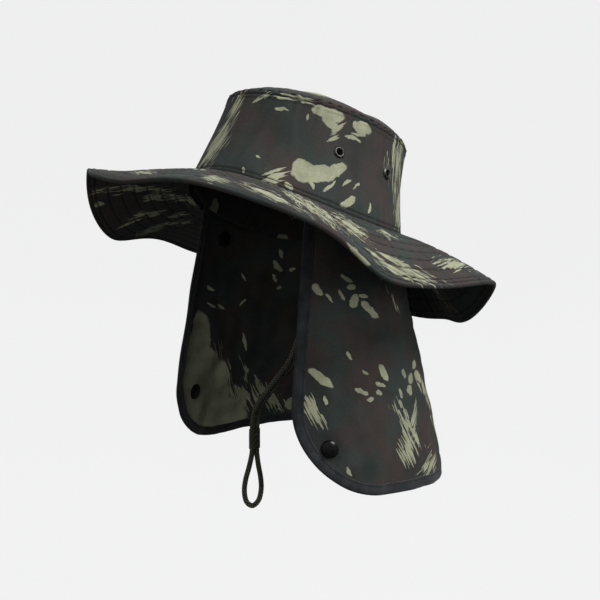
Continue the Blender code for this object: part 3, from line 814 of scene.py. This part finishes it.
def enamel_material():
    """Glossy black enamel with faint wear and orange peel."""
    nodes = Nodes("black_enamel")
    where = nodes.coords("OBJECT")
    wear = nodes.noise(where, 900.0, 3.0)
    peel = nodes.noise(where, 1400.0, 1.0)
    colour = nodes.mix(nodes.ramp(wear, 0.45, 0.75), (0.004, 0.004, 0.004, 1),
                       (0.008, 0.008, 0.008, 1))
    return nodes.surface(Base_Color=colour, Roughness=nodes.ramp(wear, 0.3, 0.8, 0.16, 0.30),
                         Specular_IOR_Level=0.18, Coat_Weight=0.06, Coat_Roughness=0.08,
                         Normal=nodes.bump(peel, 0.00004, 0.5))


def gunmetal_material():
    nodes = Nodes("gunmetal")
    wear = nodes.noise(nodes.coords("OBJECT"), 700.0, 4.0, 0.6)
    colour = nodes.mix(nodes.ramp(wear, 0.45, 0.7), (0.035, 0.036, 0.035, 1),
                       (0.16, 0.16, 0.15, 1))
    return nodes.surface(Base_Color=colour, Metallic=0.85,
                         Roughness=nodes.ramp(wear, 0.3, 0.8, 0.28, 0.5),
                         Normal=nodes.bump(wear, 0.00005, 0.4))


# Khaki marks, panel by panel: (x, y, length, width, angle), millimetres and degrees.
CROWN_MARKS = {
    "drops": (
        (92, 19.5, 23, 19, 0), (105, 21.5, 34, 13, 17), (118, 27, 28, 9, 32), (133, 9, 18, 6, 35),
        (115, 15, 15, 3, 50), (131, 23, 12, 2, 40), (141, 23, 11, 2, 45), (106, 67, 36, 10, 0),
        (109, 61, 20, 8, 170), (144, 66, 25, 10, 5), (135, 56, 21, 3, 5), (140, 60, 18, 2, 10),
        (60, 61, 15, 3, 5), (50, 18, 5, 2, 165), (42, 5, 6, 3, 110), (82, 4, 8, 5, 0),
        (87, 60, 5, 3, 110), (157, 11, 8, 3, 75), (100, 12, 9, 4, 120), (-75, 20, 18, 7, 140),
        (-110, 44, 18, 7, 60), (-128, 50, 12, 4, 45), (285, 18, 14, 5, 35),
    ),
    "brushes": (
        (115, 56, 19, 7, 40), (204, 56, 52, 36, 98), (-2, 61, 30, 22, 45), (-6, 28, 42, 26, 75),
        (38, 69, 20, 6, 35), (69, 8, 24, 13, 40), (72, 71, 32, 6, 0), (212, 20, 34, 16, 60),
        (-60, 58, 44, 20, 20), (-140, 16, 40, 18, 30), (-185, 52, 36, 24, 100),
        (-225, 24, 34, 16, 150), (255, 50, 40, 20, 120), (-262, 60, 30, 12, 10),
    ),
}
TIP_MARKS = {
    "drops": (
        (2, 4, 16, 4, 40), (-6, -62, 22, 6, 10), (46, 18, 12, 4, 70),
    ),
    "brushes": (
        (29, -28, 66, 27, 65), (-28, 30, 64, 24, 110), (30, 52, 40, 16, 25),
        (-36, -42, 30, 12, 150),
    ),
}
LINING_MARKS = {
    "drops": (
        (-103, 4, 14, 11, 30), (180, 12, 26, 7, 160), (-20, 18, 16, 4, 30), (270, 8, 14, 4, 45),
    ),
    "brushes": (
        (60, 14, 30, 8, 15), (-200, 15, 30, 8, 20),
    ),
}
BRIM_MARKS = {
    "drops": (
        (165, -65, 26, 7, 70), (-50, 140, 12, 4, 150), (-112, -20, 20, 6, 30),
        (34, -132, 18, 5, 35),
    ),
    "brushes": (
        (82, -148, 24, 22, 40), (110, -119, 50, 20, 35), (118, -81, 55, 30, 5),
        (123, -42, 30, 34, 50), (108, 12, 14, 19, 40), (160, -9, 66, 22, 70),
        (140, 60, 50, 18, 110), (96, 112, 44, 18, 45), (40, 160, 60, 22, 10),
        (-104, 110, 56, 22, 130), (-150, 30, 50, 18, 80), (-134, -84, 60, 20, 60),
        (-60, -150, 50, 14, 20), (10, -166, 36, 14, 175),
    ),
}
BRIM_UNDER_MARKS = {
    "drops": (
        (-128, -91, 28, 4, 25), (-124, -125, 10, 5, 40), (110, 70, 30, 10, 40),
    ),
    "brushes": (
        (-90, -117, 56, 10, 35), (-93, -124, 28, 8, 30), (-73, -100, 22, 14, 40),
        (-87, -98, 11, 8, 25), (-79, -91, 17, 12, 50), (-70, -80, 14, 10, 40),
        (-64, -69, 24, 10, 110), (-113, -90, 18, 7, 25), (-104, -81, 14, 9, 40),
        (-114, -43, 20, 13, 35), (-136, -56, 42, 16, 10), (-97, -59, 20, 9, 35),
        (10, -150, 50, 16, 15), (90, -120, 40, 12, 140), (140, -30, 60, 20, 80),
        (40, 140, 60, 18, 20), (-60, 140, 50, 14, 130), (-140, 50, 50, 18, 100),
    ),
}
CURTAIN_MARKS = {
    "left": {
        "drops": (
            (13, 66, 10, 8, 30), (22, 70, 9, 3, 40), (32, 66, 10, 4, 65), (44, 68, 14, 8, 115),
            (60, 74, 24, 7, 35), (53, 63, 10, 4, 10), (41, 58, 9, 5, 155), (37, 52, 12, 4, 15),
            (20, 133, 24, 7, 35), (6, 128, 9, 3, 55), (57, 126, 10, 3, 30), (41, 113, 9, 3, 50),
            (77, 125, 17, 7, 55), (55, 141, 14, 4, 15), (74, 135, 14, 4, 15), (73, 142, 9, 4, 15),
            (63, 147, 8, 3, 0), (130, 120, 10, 8, 155), (118, 131, 13, 9, 145),
            (138, 131, 17, 8, 40), (113, 141, 11, 8, 65), (100, 143, 11, 4, 70),
            (99, 152, 8, 4, 60), (104, 126, 9, 5, 55), (24, 149, 9, 3, 60), (47, 204, 9, 3, 55),
            (160, 60, 16, 5, 40),
        ),
        "brushes": (
            (89, 60, 30, 6, 45), (15, 158, 30, 11, 62), (111, 173, 42, 14, 50),
            (109, 188, 27, 18, 75), (118, 168, 30, 8, 110), (141, 209, 32, 20, 155),
            (177, 185, 46, 13, 45), (159, 151, 50, 13, 45), (215, 120, 50, 18, 70),
            (236, 190, 40, 14, 20), (196, 70, 34, 13, 130),
        ),
    },
    "right": {
        "drops": (
            (46, 157, 112, 40, 45), (26, 120, 54, 26, 70), (78, 203, 80, 44, 30),
            (19, 163, 86, 46, 80), (40, 198, 70, 46, 40), (27, 71, 11, 4, 10), (31, 87, 14, 3, 5),
            (44, 87, 12, 3, 25), (64, 52, 12, 3, 50), (68, 78, 10, 3, 120), (94, 21, 13, 4, 65),
            (94, 36, 18, 5, 50), (95, 50, 11, 3, 55), (102, 62, 6, 4, 160), (110, 39, 6, 4, 135),
            (82, 121, 24, 3, 70), (150, 203, 18, 15, 85), (180, 90, 12, 4, 150),
        ),
        "brushes": (
            (64, 148, 54, 14, 52), (100, 188, 44, 18, 45), (95, 159, 40, 5, 60),
            (119, 185, 50, 10, 50), (131, 197, 34, 12, 55), (200, 150, 60, 18, 100),
            (236, 80, 44, 16, 40), (226, 196, 34, 12, 20),
        ),
    },
}


# ----------------------------------------------------------------- pieces
def ring_directions(count):
    """Directions round the hat from the nape, so that any seam lies at the back."""
    return np.linspace(-pi, pi, count + 1)


def crown_band(camo):
    """The crown wall, with a hole for each eyelet."""
    rises = np.unique(np.concatenate([
        np.linspace(-CROWN_TUCK_IN, CROWN_WALL, 34),
        np.linspace(CROWN_WALL - 0.008, CROWN_WALL, 14),
        np.linspace(0, 0.010, 14)]))
    full, height = grid(ring_directions(420), rises)
    direction, rise = full[:-1], height[:-1]
    # Painted shade along the crown wall's stitch rows and its sewn top and bottom edges.
    rows = (-CROWN_TUCK_IN, *CROWN_BASE_STITCHES, CROWN_WALL - TIP_STITCH_BELOW, CROWN_WALL)
    band = grid_object("crown_band_cloth", crown_surface(direction, rise),
                       stack(full * CROWN_CLOTH_RADIUS, height), camo, closed=True,
                       thickness=CROWN_CLOTH, painted_groove_shade=groove_depth(rise, rows))
    cutters = []
    for label, place in eyelet_places():
        cutters.append(turned_object(f"cutter_{label}", (
            (0, 0.006), (EYELET_HOLE_RADIUS, 0.006), (EYELET_HOLE_RADIUS, -0.006),
            (0, -0.006)), None, place, 32))
        hole = band.modifiers.new(label, "BOOLEAN")
        hole.operation = "DIFFERENCE"
        hole.object = cutters[-1]
    bake_modifiers(band)
    for cutter in cutters:
        bpy.data.objects.remove(cutter)
    attach(band, "hat", "camo_twill", "crown_band")


def crown_tip(camo):
    shares = np.concatenate([np.linspace(0.02, 0.85, 24), np.linspace(0.87, 1.0, 16)])
    full, share = grid(ring_directions(420)[::2], shares)
    flat = stack(TIP_HALF_WIDTH * share * np.sin(full), -tip_length(full) * share * np.cos(full))
    tip = grid_object("crown_tip_cloth", tip_surface(full[:-1], share[:-1], 0.0006), flat, camo,
                      closed=True, thickness=CROWN_CLOTH, flip=True)
    close_centre(tip)
    attach(tip, "hat", "camo_twill", "crown_tip")


def wall_stitches(name, heights, inset, face, thread, slot):
    """Rows of stitches round the crown wall, outside (face 1) or inside (face -1)."""
    turn = np.linspace(-pi, pi, 1200)
    runs = []
    for height in heights:
        level = np.full_like(turn, height)
        runs.append((crown_surface(turn, level, inset),
                     face * normals_of(crown_surface, turn, level)))
    attach(stitch_mesh(name, runs, thread), "hat", slot)


def ring_strip(name, span, inset, thickness, material, node):
    """A strip of cloth lying round the inside of the crown wall."""
    full, height = grid(ring_directions(300), np.linspace(*span, 14))
    direction, rise = full[:-1], height[:-1]
    belly = 0.0003 * np.sin((rise - span[0]) / (span[1] - span[0]) * pi)
    piece = grid_object(name, crown_surface(direction, rise, inset + belly),
                        stack(full * LINING_CLOTH_RADIUS, height), material, closed=True,
                        thickness=thickness)
    attach(piece, "hat", "lining_twill", node)


def build_crown(camo_wall, camo_tip, lining, thread):
    crown_band(camo_wall)
    crown_tip(camo_tip)
    wall_stitches("crown_stitching", (CROWN_WALL - TIP_STITCH_BELOW, *CROWN_BASE_STITCHES),
                  -0.0001, 1, thread, "camo_twill")
    ring_strip("tip_seam_tape_cloth", (CROWN_WALL - 0.012, CROWN_WALL - 0.001), 0.0017, 0.0005,
               lining, "tip_seam_tape")
    ring_strip("sweatband_cloth", (0.0005, SWEATBAND_RISE), SWEATBAND_INSET, 0.0010,
               lining, "sweatband")
    wall_stitches("sweatband_stitching", (0.0030, SWEATBAND_RISE - 0.0030),
                  SWEATBAND_INSET + 0.0011, -1, thread, "lining_twill")


def edit_mesh(piece, change):
    """Lets change work on the piece's mesh as a bmesh."""
    builder = bmesh.new()
    builder.from_mesh(piece.data)
    change(builder)
    builder.to_mesh(piece.data)
    builder.free()


def close_centre(piece):
    """Fills the small hole at the centre of a polar grid."""
    def change(builder):
        rim = [edge for edge in builder.edges
               if edge.is_boundary and edge.calc_length() < 0.0008]
        bmesh.ops.contextual_create(builder, geom=rim)
    edit_mesh(piece, change)


def cap_ends(piece):
    """Closes a tube's two ends."""
    def change(builder):
        edges = [edge for edge in builder.edges if edge.is_boundary]
        bmesh.ops.holes_fill(builder, edges=edges)
        bmesh.ops.recalc_face_normals(builder, faces=builder.faces)
    edit_mesh(piece, change)
    piece.data.shade_smooth()


def bake_modifiers(piece):
    """Replaces the mesh by its evaluated form and drops the modifiers."""
    depsgraph = bpy.context.evaluated_depsgraph_get()
    mesh = bpy.data.meshes.new_from_object(piece.evaluated_get(depsgraph))
    piece.modifiers.clear()
    piece.data = mesh
    mesh.name = piece.name


def eyelet_places():
    """The label and the frame of each eyelet, with Z out of the crown."""
    for side, label in ((1, "left"), (-1, "right")):
        for turn, lift, spot in zip(EYELET_DIRECTIONS, EYELET_RISES, ("front", "rear")):
            angle, height = np.array(side * turn), np.array(lift)
            normal = normals_of(crown_surface, angle, height)
            if normal[0] * side < 0:
                normal = -normal
            yield f"{label}_{spot}", frame_at(crown_surface(angle, height), normal)


def build_eyelets(metal):
    bore, rim = EYELET_BORE_RADIUS, EYELET_FLANGE_RADIUS
    flange = (
        (bore, -0.0026), (bore, 0.0008), (bore + 0.0003, 0.0014), (bore + 0.0009, 0.0017),
        (bore + 0.0016, 0.0015), (rim - 0.0005, 0.0009), (rim, 0.0005), (rim, 0.0001),
        (bore + 0.0005, 0.0001), (bore + 0.0005, -0.0026),
    )
    washer = (
        (bore + 0.0008, -0.0012), (rim - 0.0003, -0.0012), (rim - 0.0003, -0.0016),
        (bore + 0.0014, -0.0024), (bore + 0.0008, -0.0024),
    )
    for label, place in eyelet_places():
        for kind, profile in (("eyelet", flange), ("eyelet_washer", washer)):
            ring = turned_object(f"{kind}_ring_{label}", profile, metal, place)
            attach(ring, "hat", "eyelet_metal", f"{kind}_{label}")


def brim_shares():
    """Rows across the brim, closer together beside each stitch row."""
    rows = [[BRIM_TURN_IN], np.linspace(0, 1, 30)]
    for row in BRIM_STITCH_ROWS:
        middle = 1 - row / BRIM_WIDTH
        rows.append(middle + np.array([-0.0022, -0.0011, 0, 0.0011, 0.0022]) / BRIM_WIDTH)
    shares = np.unique(np.round(np.concatenate(rows), 5))
    return shares[(shares >= BRIM_TURN_IN) & (shares <= 1)]


def brim_rim(direction, share, upper):
    """Five rows of points round the brim's turned edge, from the upper face down."""
    edge = brim_middle(direction, share)
    ahead = unit(edge - brim_middle(direction, share - 0.01))
    angles = pi * np.arange(1, 6) / 6
    return np.stack([edge + (upper - edge) * cos(angle) + ahead * 0.0014 * sin(angle)
                     for angle in angles], 1)


def build_brim(camo_top, camo_under, thread):
    full, ratio = grid(ring_directions(480), brim_shares())
    direction, share = full[:-1], ratio[:-1]
    across, forward = outward(full)
    flat = stack(HEAD_HALF_WIDTH * np.sin(full) + across * BRIM_WIDTH * ratio,
                 -head_length(full) * np.cos(full) + forward * BRIM_WIDTH * ratio)
    upper = brim_face(direction, share, 1)
    lower = brim_face(direction, share, -1)
    rim = brim_rim(direction[:, -1], share[:, -1], upper[:, -1])
    rim_flat = flat[:, -1:] * (1 + 0.004 * np.arange(1, 6))[:, None]
    # Painted shade along the brim's quilting rows, none on its turned edge.
    brim_groove_shade = groove_depth((1 - share) * BRIM_WIDTH, BRIM_STITCH_ROWS)
    top = grid_object("brim_top_cloth", np.concatenate([upper, rim[:, :4]], 1),
                      np.concatenate([flat, rim_flat[:, :4]], 1), camo_top, closed=True,
                      thickness=BRIM_CLOTH, flip=True, painted_groove_shade=np.pad(brim_groove_shade, ((0, 0), (0, 4))))
    under = grid_object("brim_under_cloth", np.concatenate([lower, rim[:, :2:-1]], 1),
                        np.concatenate([flat, rim_flat[:, :2]], 1), camo_under, closed=True,
                        thickness=BRIM_CLOTH, painted_groove_shade=np.pad(brim_groove_shade, ((0, 0), (0, 2))))
    attach(top, "hat", "camo_twill", "brim_top")
    attach(under, "hat", "camo_twill", "brim_bottom", "brim_interlining")
    turn = np.linspace(-pi, pi, 1400)
    for face, label in ((1, "top"), (-1, "under")):
        runs = []
        for row in BRIM_STITCH_ROWS:
            level = np.full_like(turn, 1 - row / BRIM_WIDTH)
            runs.append((brim_face(turn, level, face, 0.0001),
                         -face * normals_of(brim_middle, turn, level)))
        attach(stitch_mesh(f"brim_stitching_{label}", runs, thread), "hat", "camo_twill")


def curtain_columns(lobe, inset, columns, rows):
    """Grid of (distance from the front edge, fall) over one curtain half."""
    step, level = grid(columns, rows)
    low = lobe_bottom(lobe, inset + step * (HEM_HALF_LENGTH - inset), inset)
    fall = CURTAIN_TOP_FALL + (low - CURTAIN_TOP_FALL) * level
    return inset + step * (half_length(fall) - inset), fall


def outline(lobe, path, inset):
    """Distance from the front and fall along the outline: 0..1 front, 1..2 corner, 2..3 hem."""
    width, height = lobe["corner_width"], lobe["corner_height"]
    straight = 1 - height / column_length(lobe, 0.0)
    front_fall = CURTAIN_TOP_FALL + (straight - CURTAIN_TOP_FALL) * np.clip(path, 0, 1)
    angle = np.clip(path - 1, 0, 1) * pi / 2
    low = 1 - inset / column_length(lobe, 1.0)
    hem_foot = width + (half_length(low) - width) * np.clip(path - 2, 0, 1)
    foot = np.where(path <= 2, width - (width - inset) * np.cos(angle), hem_foot)
    above = np.where(path <= 2, height - (height - inset) * np.sin(angle), inset)
    length = column_length(lobe, np.clip(foot / HEM_HALF_LENGTH, 0, 1))
    fall = np.where(path <= 1, front_fall, 1 - above / length)
    return np.where(path <= 1, inset, np.minimum(foot, half_length(fall))), fall


def hang(piece, name, slot, *nodes):
    """Hides the nodes a curtain piece stands for and bakes its place into its mesh."""
    if nodes:
        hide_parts(*nodes)
    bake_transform(piece)
    return piece


def curtain_binding(name, lobe, tape):
    """Bias tape folded over the cloth's free edge."""
    profile = BINDING_PROFILE + tuple((inset, -lift) for inset, lift in BINDING_PROFILE[-2::-1])
    path = np.concatenate([np.linspace(0, 1, 60)[:-1], np.linspace(1, 2, 30)[:-1],
                           np.linspace(2, 3, 90)])
    strip = []
    strip_uv = []
    for inset, lift in profile:
        strip.append(lobe_surface(lobe, *outline(lobe, path, inset), lift))
        strip_uv.append(stack(path * 0.15, lift + inset))
    binding = grid_object(f"{name}_curtain_binding", np.stack(strip, 1), np.stack(strip_uv, 1),
                          tape, thickness=0.0004, flip=lobe["side"] > 0)
    return hang(binding, name, "binding_tape", f"{name}_lobe_binding", "curtain_back_binding")


def build_curtain_half(name, lobe, camo, tape, thread):
    from_front, fall = curtain_columns(lobe, 0.0012, np.linspace(0, 1, 110) ** 1.25,
                                       np.linspace(0, 1, 80))
    cloth = grid_object(f"{name}_curtain_cloth", lobe_surface(lobe, from_front, fall),
                        stack(from_front, fall * CURTAIN_LENGTH), camo,
                        thickness=CLOTH_HALF * 2, offset=0.0, flip=lobe["side"] < 0)
    hang(cloth, name, "camo_twill", f"{name}_lobe", f"{name}_lobe_lining", "curtain_back",
         "curtain_back_lining")
    binding = curtain_binding(name, lobe, tape)

    run, level = outline(lobe, np.linspace(0, 3, 900), BINDING_STITCH_IN)
    runs = []
    for face in (1, -1):
        line = lobe_surface(lobe, run, level, face * 0.00142)
        runs.append((line, unit(lobe_surface(lobe, run, level, face * 0.003) - line)))
    stitches = hang(stitch_mesh(f"{name}_binding_stitching", runs, thread), name, "binding_tape")


def build_yoke(camo):
    """The strip that is sewn into the head opening and carries the curtain."""
    across, level = grid(np.linspace(-1, 1, 260), np.linspace(-YOKE_ABOVE, YOKE_BELOW, 16))
    from_temple = 1 - np.abs(across)
    halves = []
    for lobe in (LOBES["left"], LOBES["right"]):
        above = curtain_top(lobe, from_temple, np.maximum(-level, 0))
        below = curtain_plain(lobe, from_temple,
                              np.maximum(level, 0) / column_length(lobe, from_temple))
        halves.append(np.where((level < 0)[..., None], above, below))
    points = np.where((across >= 0)[..., None], halves[0], halves[1])
    yoke = grid_object("curtain_yoke_cloth", points, stack(across * YOKE_CLOTH_HALF, level),
                       camo, thickness=0.0022, offset=0.0)
    attach(yoke, "hat", "camo_twill", "curtain_yoke")


def snap_socket(back):
    """Profile of a socket, or of the ring behind an upper snap, of radius back."""
    dome = ((1.0, -0.0011), (1.01, -0.0016), (0.96, -0.0022), (0.84, -0.0027),
            (0.62, -0.0033), (0.36, -0.0037))
    return ((0.0019, -0.0011), *((back * share, height) for share, height in dome),
            (0.0, -0.0038), (0.0, -0.0030), (0.0019, -0.0030))


def build_snaps(enamel):
    dome = ((0.25, 0.00415), (0.50, 0.0038), (0.70, 0.0033), (0.85, 0.0027), (0.95, 0.0021),
            (1.0, 0.0015), (0.99, 0.0011), (0.90, 0.0010))
    cap = ((0.0, 0.0042), *((SNAP_RADIUS * share, height) for share, height in dome),
           (0.0016, 0.0010), (0.0016, -0.0026), (0.0, -0.0026))
    for name, lobe in LOBES.items():
        length = float(column_length(lobe, SNAP_FROM_FRONT / HEM_HALF_LENGTH))
        spots = (
            ("lower_snap", SNAP_FROM_FRONT, 1 - lobe["snap_above_hem"] / length, 1,
             SNAP_RADIUS - 0.0003),
            ("upper_snap", UPPER_SNAP_FROM_FRONT, UPPER_SNAP_BELOW_SEAM / length, -1,
             UPPER_SNAP_BACK_RADIUS),
        )
        for label, from_front, fall, facing, back in spots:
            centre = lobe_surface(lobe, from_front, fall)
            out = lobe_surface(lobe, from_front, fall, 0.001) - centre
            place = frame_at(centre, out * facing)
            for kind, profile in (("cap", cap), ("socket", snap_socket(back))):
                snap = turned_object(f"{name}_{label}_{kind}_turned", profile, enamel, place)
                attach(snap, f"{name}_lobe_body", "snap_black", f"{name}_{label}_{kind}")


def smooth_curve(points, spacing):
    """Catmull-Rom curve through the points, sampled at an even spacing."""
    line = np.array(points, float)
    line = np.concatenate([[2 * line[0] - line[1]], line, [2 * line[-1] - line[-2]]])
    fine = []
    t = np.arange(24)[:, None] / 24
    for a, b, c, d in zip(line, line[1:], line[2:], line[3:]):
        fine.append(0.5 * (2 * b + (c - a) * t + (2 * a - 5 * b + 4 * c - d) * t ** 2
                           + (3 * b - a - 3 * c + d) * t ** 3))
    fine = np.concatenate(fine + [line[-2:-1]])
    reach = distance_along(fine)
    count = int(round(reach[-1] / spacing))
    return sample(fine, reach, np.linspace(0, reach[-1], count + 1)), reach[-1]


def tube(name, line, side, up, angle, radius, run, girth, material):
    """Closed tube round a line; side and up span its cross-section."""
    points = (line[:, None] + side[:, None] * (radius * np.cos(angle))[..., None]
              + up[:, None] * (radius * np.sin(angle))[..., None])
    uvs = stack(np.linspace(0, run, len(line))[None, :],
                np.linspace(0, girth, len(angle) + 1)[:, None])
    piece = grid_object(name, points.transpose(1, 0, 2), uvs, material, closed=True)
    cap_ends(piece)
    return piece


def build_cord(braid):
    """One braided cord: down from the tab, round the loop and up to the tab again."""
    ahead = [(x, y - half, z) for x, y, z, half in CORD_ROUTE]
    behind = [(x, y + half, z) for x, y, z, half in reversed(CORD_ROUTE[:-1])]
    line, length = smooth_curve(ahead + behind, 0.00036)
    onward = unit(np.gradient(line, axis=0))
    side = unit(np.cross(onward, np.cross(onward, np.array([1.0, 0.0, 0.0]))))
    angle = np.linspace(0, 2 * pi, 40, endpoint=False)
    twist = 2 * pi * np.linspace(0, length, len(line))[:, None] / BRAID_PITCH
    weave = np.cos(4 * angle + twist * 2) * np.cos(4 * angle - twist * 2)
    radius = CORD_DIAMETER / 2 * (0.90 + 0.13 * np.abs(weave))
    cord = tube("chin_cord_braid", line, side, np.cross(onward, side), angle, radius, length,
                BRAID_GIRTH, braid)
    attach(cord, "chin_cord_body", "cord_braid", "chin_cord")
    tuple(line[0])
    build_keeper(braid)


def build_keeper(braid):
    """Whipping: thread wound round both strands above the loop."""
    turn = np.linspace(0, 2 * pi * KEEPER_TURNS, KEEPER_TURNS * 36)
    middle_x, middle_y, _, half = CORD_ROUTE[12]
    radius = CORD_DIAMETER / 2 + 0.0002
    line = stack(middle_x + radius * np.sin(turn),
                 middle_y + half * np.tanh(3 * np.cos(turn)) + radius * np.cos(turn),
                 KEEPER_TOP - KEEPER_LENGTH * turn / turn[-1])
    ahead = unit(np.gradient(line, axis=0))
    side = unit(np.cross(ahead, np.array([0.0, 0.0, 1.0])))
    keeper = tube("cord_keeper_whipping", line, side, np.cross(side, ahead),
                  np.linspace(0, 2 * pi, 10, endpoint=False), KEEPER_THREAD_RADIUS, 0.4, 0.004,
                  braid)
    return attach(keeper, "chin_cord_body", "cord_braid", "cord_keeper")


def build_anchor(tape):
    """Folded webbing tab that holds the cord's ends."""
    low, high = (Vector(corner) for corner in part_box("cord_anchor"))
    builder = bmesh.new()
    bmesh.ops.create_cube(builder, size=1.0)
    bmesh.ops.scale(builder, vec=(TAB_THICKNESS, TAB_WIDTH, high.z - low.z),
                    verts=builder.verts)
    bmesh.ops.bevel(builder, geom=list(builder.edges), offset=0.0013, segments=4,
                    affect="EDGES", profile=0.5)
    tab = new_object("cord_tab", finished_mesh(builder, "cord_tab"), tape)
    turn = Matrix.Rotation(-TAB_TURN, 4, "Z")
    tab.matrix_world = Matrix.Translation((low + high) / 2) @ turn
    attach(tab, "hat", "binding_tape", "cord_anchor")


# ------------------------------------------------------ studio and camera
def build_studio():
    """A round seamless backdrop of pale paper that glows a little, so it looks evenly lit."""
    nodes = Nodes("studio_paper")
    cloud = nodes.noise(nodes.coords("OBJECT"), 1.2)
    pale = nodes.mix(cloud, (0.86, 0.86, 0.865, 1), (0.88, 0.88, 0.885, 1))
    paper = nodes.surface(Base_Color=(0.05, 0.05, 0.05, 1), Emission_Color=pale,
                          Emission_Strength=0.955, Roughness=0.95, Specular_IOR_Level=0.1)
    floor, flat, bend, wall_top = -0.75, 1.6, 1.4, 3.2
    profile = [(0.0, floor), (flat, floor)]
    for angle in np.arange(1, 13) * pi / 24:
        profile.append((flat + bend * sin(angle), floor + bend * (1 - cos(angle))))
    profile.append((flat + bend, wall_top))
    backdrop = new_object("studio_backdrop", spun_mesh("studio_backdrop", profile, 96, False),
                          paper)
    backdrop.visible_diffuse = False
    backdrop.visible_shadow = False
    backdrop.visible_glossy = False


def aim(piece, location, target):
    """Puts a light or the camera at a place, looking at a target."""
    piece.location = location
    look = Vector(target) - Vector(location)
    piece.rotation_euler = look.to_track_quat("-Z", "Y").to_euler()


def build_lights():
    """Soft light from overhead and from the wearer's left, with little from below."""
    world = bpy.data.worlds.new("studio_fill")
    bpy.context.scene.world = world
    world.use_nodes = True
    tree = world.node_tree
    where = tree.nodes.new("ShaderNodeTexCoord")
    split = tree.nodes.new("ShaderNodeSeparateXYZ")
    height = tree.nodes.new("ShaderNodeMapRange")
    ends = {"From Min": -0.35, "From Max": 0.75, "To Min": FILL_BELOW, "To Max": FILL_ABOVE}
    for label, value in ends.items():
        height.inputs[label].default_value = value
    background = tree.nodes["Background"]
    background.inputs["Color"].default_value = (1.0, 1.0, 1.0, 1)
    tree.links.new(where.outputs["Generated"], split.inputs[0])
    tree.links.new(split.outputs["Z"], height.inputs["Value"])
    tree.links.new(height.outputs[0], background.inputs["Strength"])
    for name, location, size, power in AREA_LIGHTS:
        data = bpy.data.lights.new(name, "AREA")
        data.shape = "DISK"
        data.size = size
        data.energy = power
        light = new_object(name, data)
        light.visible_glossy = name == "key_light"
        aim(light, location, LIGHT_AIM)


def build_camera():
    data = bpy.data.cameras.new("camera")
    data.lens = CAMERA_LENS
    data.sensor_width = 36.0
    camera = new_object("camera", data)
    flat = cos(CAMERA_ELEVATION)
    aim(camera, (CAMERA_DISTANCE * sin(CAMERA_AZIMUTH) * flat,
                 -CAMERA_DISTANCE * cos(CAMERA_AZIMUTH) * flat,
                 CAMERA_DISTANCE * sin(CAMERA_ELEVATION)), CAMERA_AIM)
    bpy.context.scene.camera = camera


bpy.context.scene.view_settings.view_transform = "Standard"
camo_crown = camo_material("camo_crown", CROWN_MARKS, 1)
camo_tip = camo_material("camo_tip", TIP_MARKS, 2)
camo_brim = camo_material("camo_brim", BRIM_MARKS, 3)
camo_under = camo_material("camo_brim_under", BRIM_UNDER_MARKS, 4)
camo_lobes = {name: camo_material(f"camo_{name}_curtain", CURTAIN_MARKS[name], seed)
              for seed, name in enumerate(LOBES, 5)}
# The lining's camo is scaled to 0.7: painted shade for the dim inside of the hat.
camo_lining = camo_material("camo_lining", LINING_MARKS, 7, painted_inside_shade=0.7)
binding_tape = tape_material("binding_tape", (0.012, 0.013, 0.015))
dark_thread = tape_material("dark_thread", (0.009, 0.010, 0.010), "OBJECT", 2.0, 0.1)
olive_braid = braid_material()
enamel = enamel_material()
gunmetal = gunmetal_material()

build_crown(camo_crown, camo_tip, camo_lining, dark_thread)
build_eyelets(gunmetal)
build_brim(camo_brim, camo_under, dark_thread)
build_yoke(camo_lining)
for lobe_name, lobe_facts in LOBES.items():
    build_curtain_half(lobe_name, lobe_facts, camo_lobes[lobe_name], binding_tape, dark_thread)
build_snaps(enamel)
build_cord(olive_braid)
build_anchor(binding_tape)
build_studio()
build_lights()
build_camera()
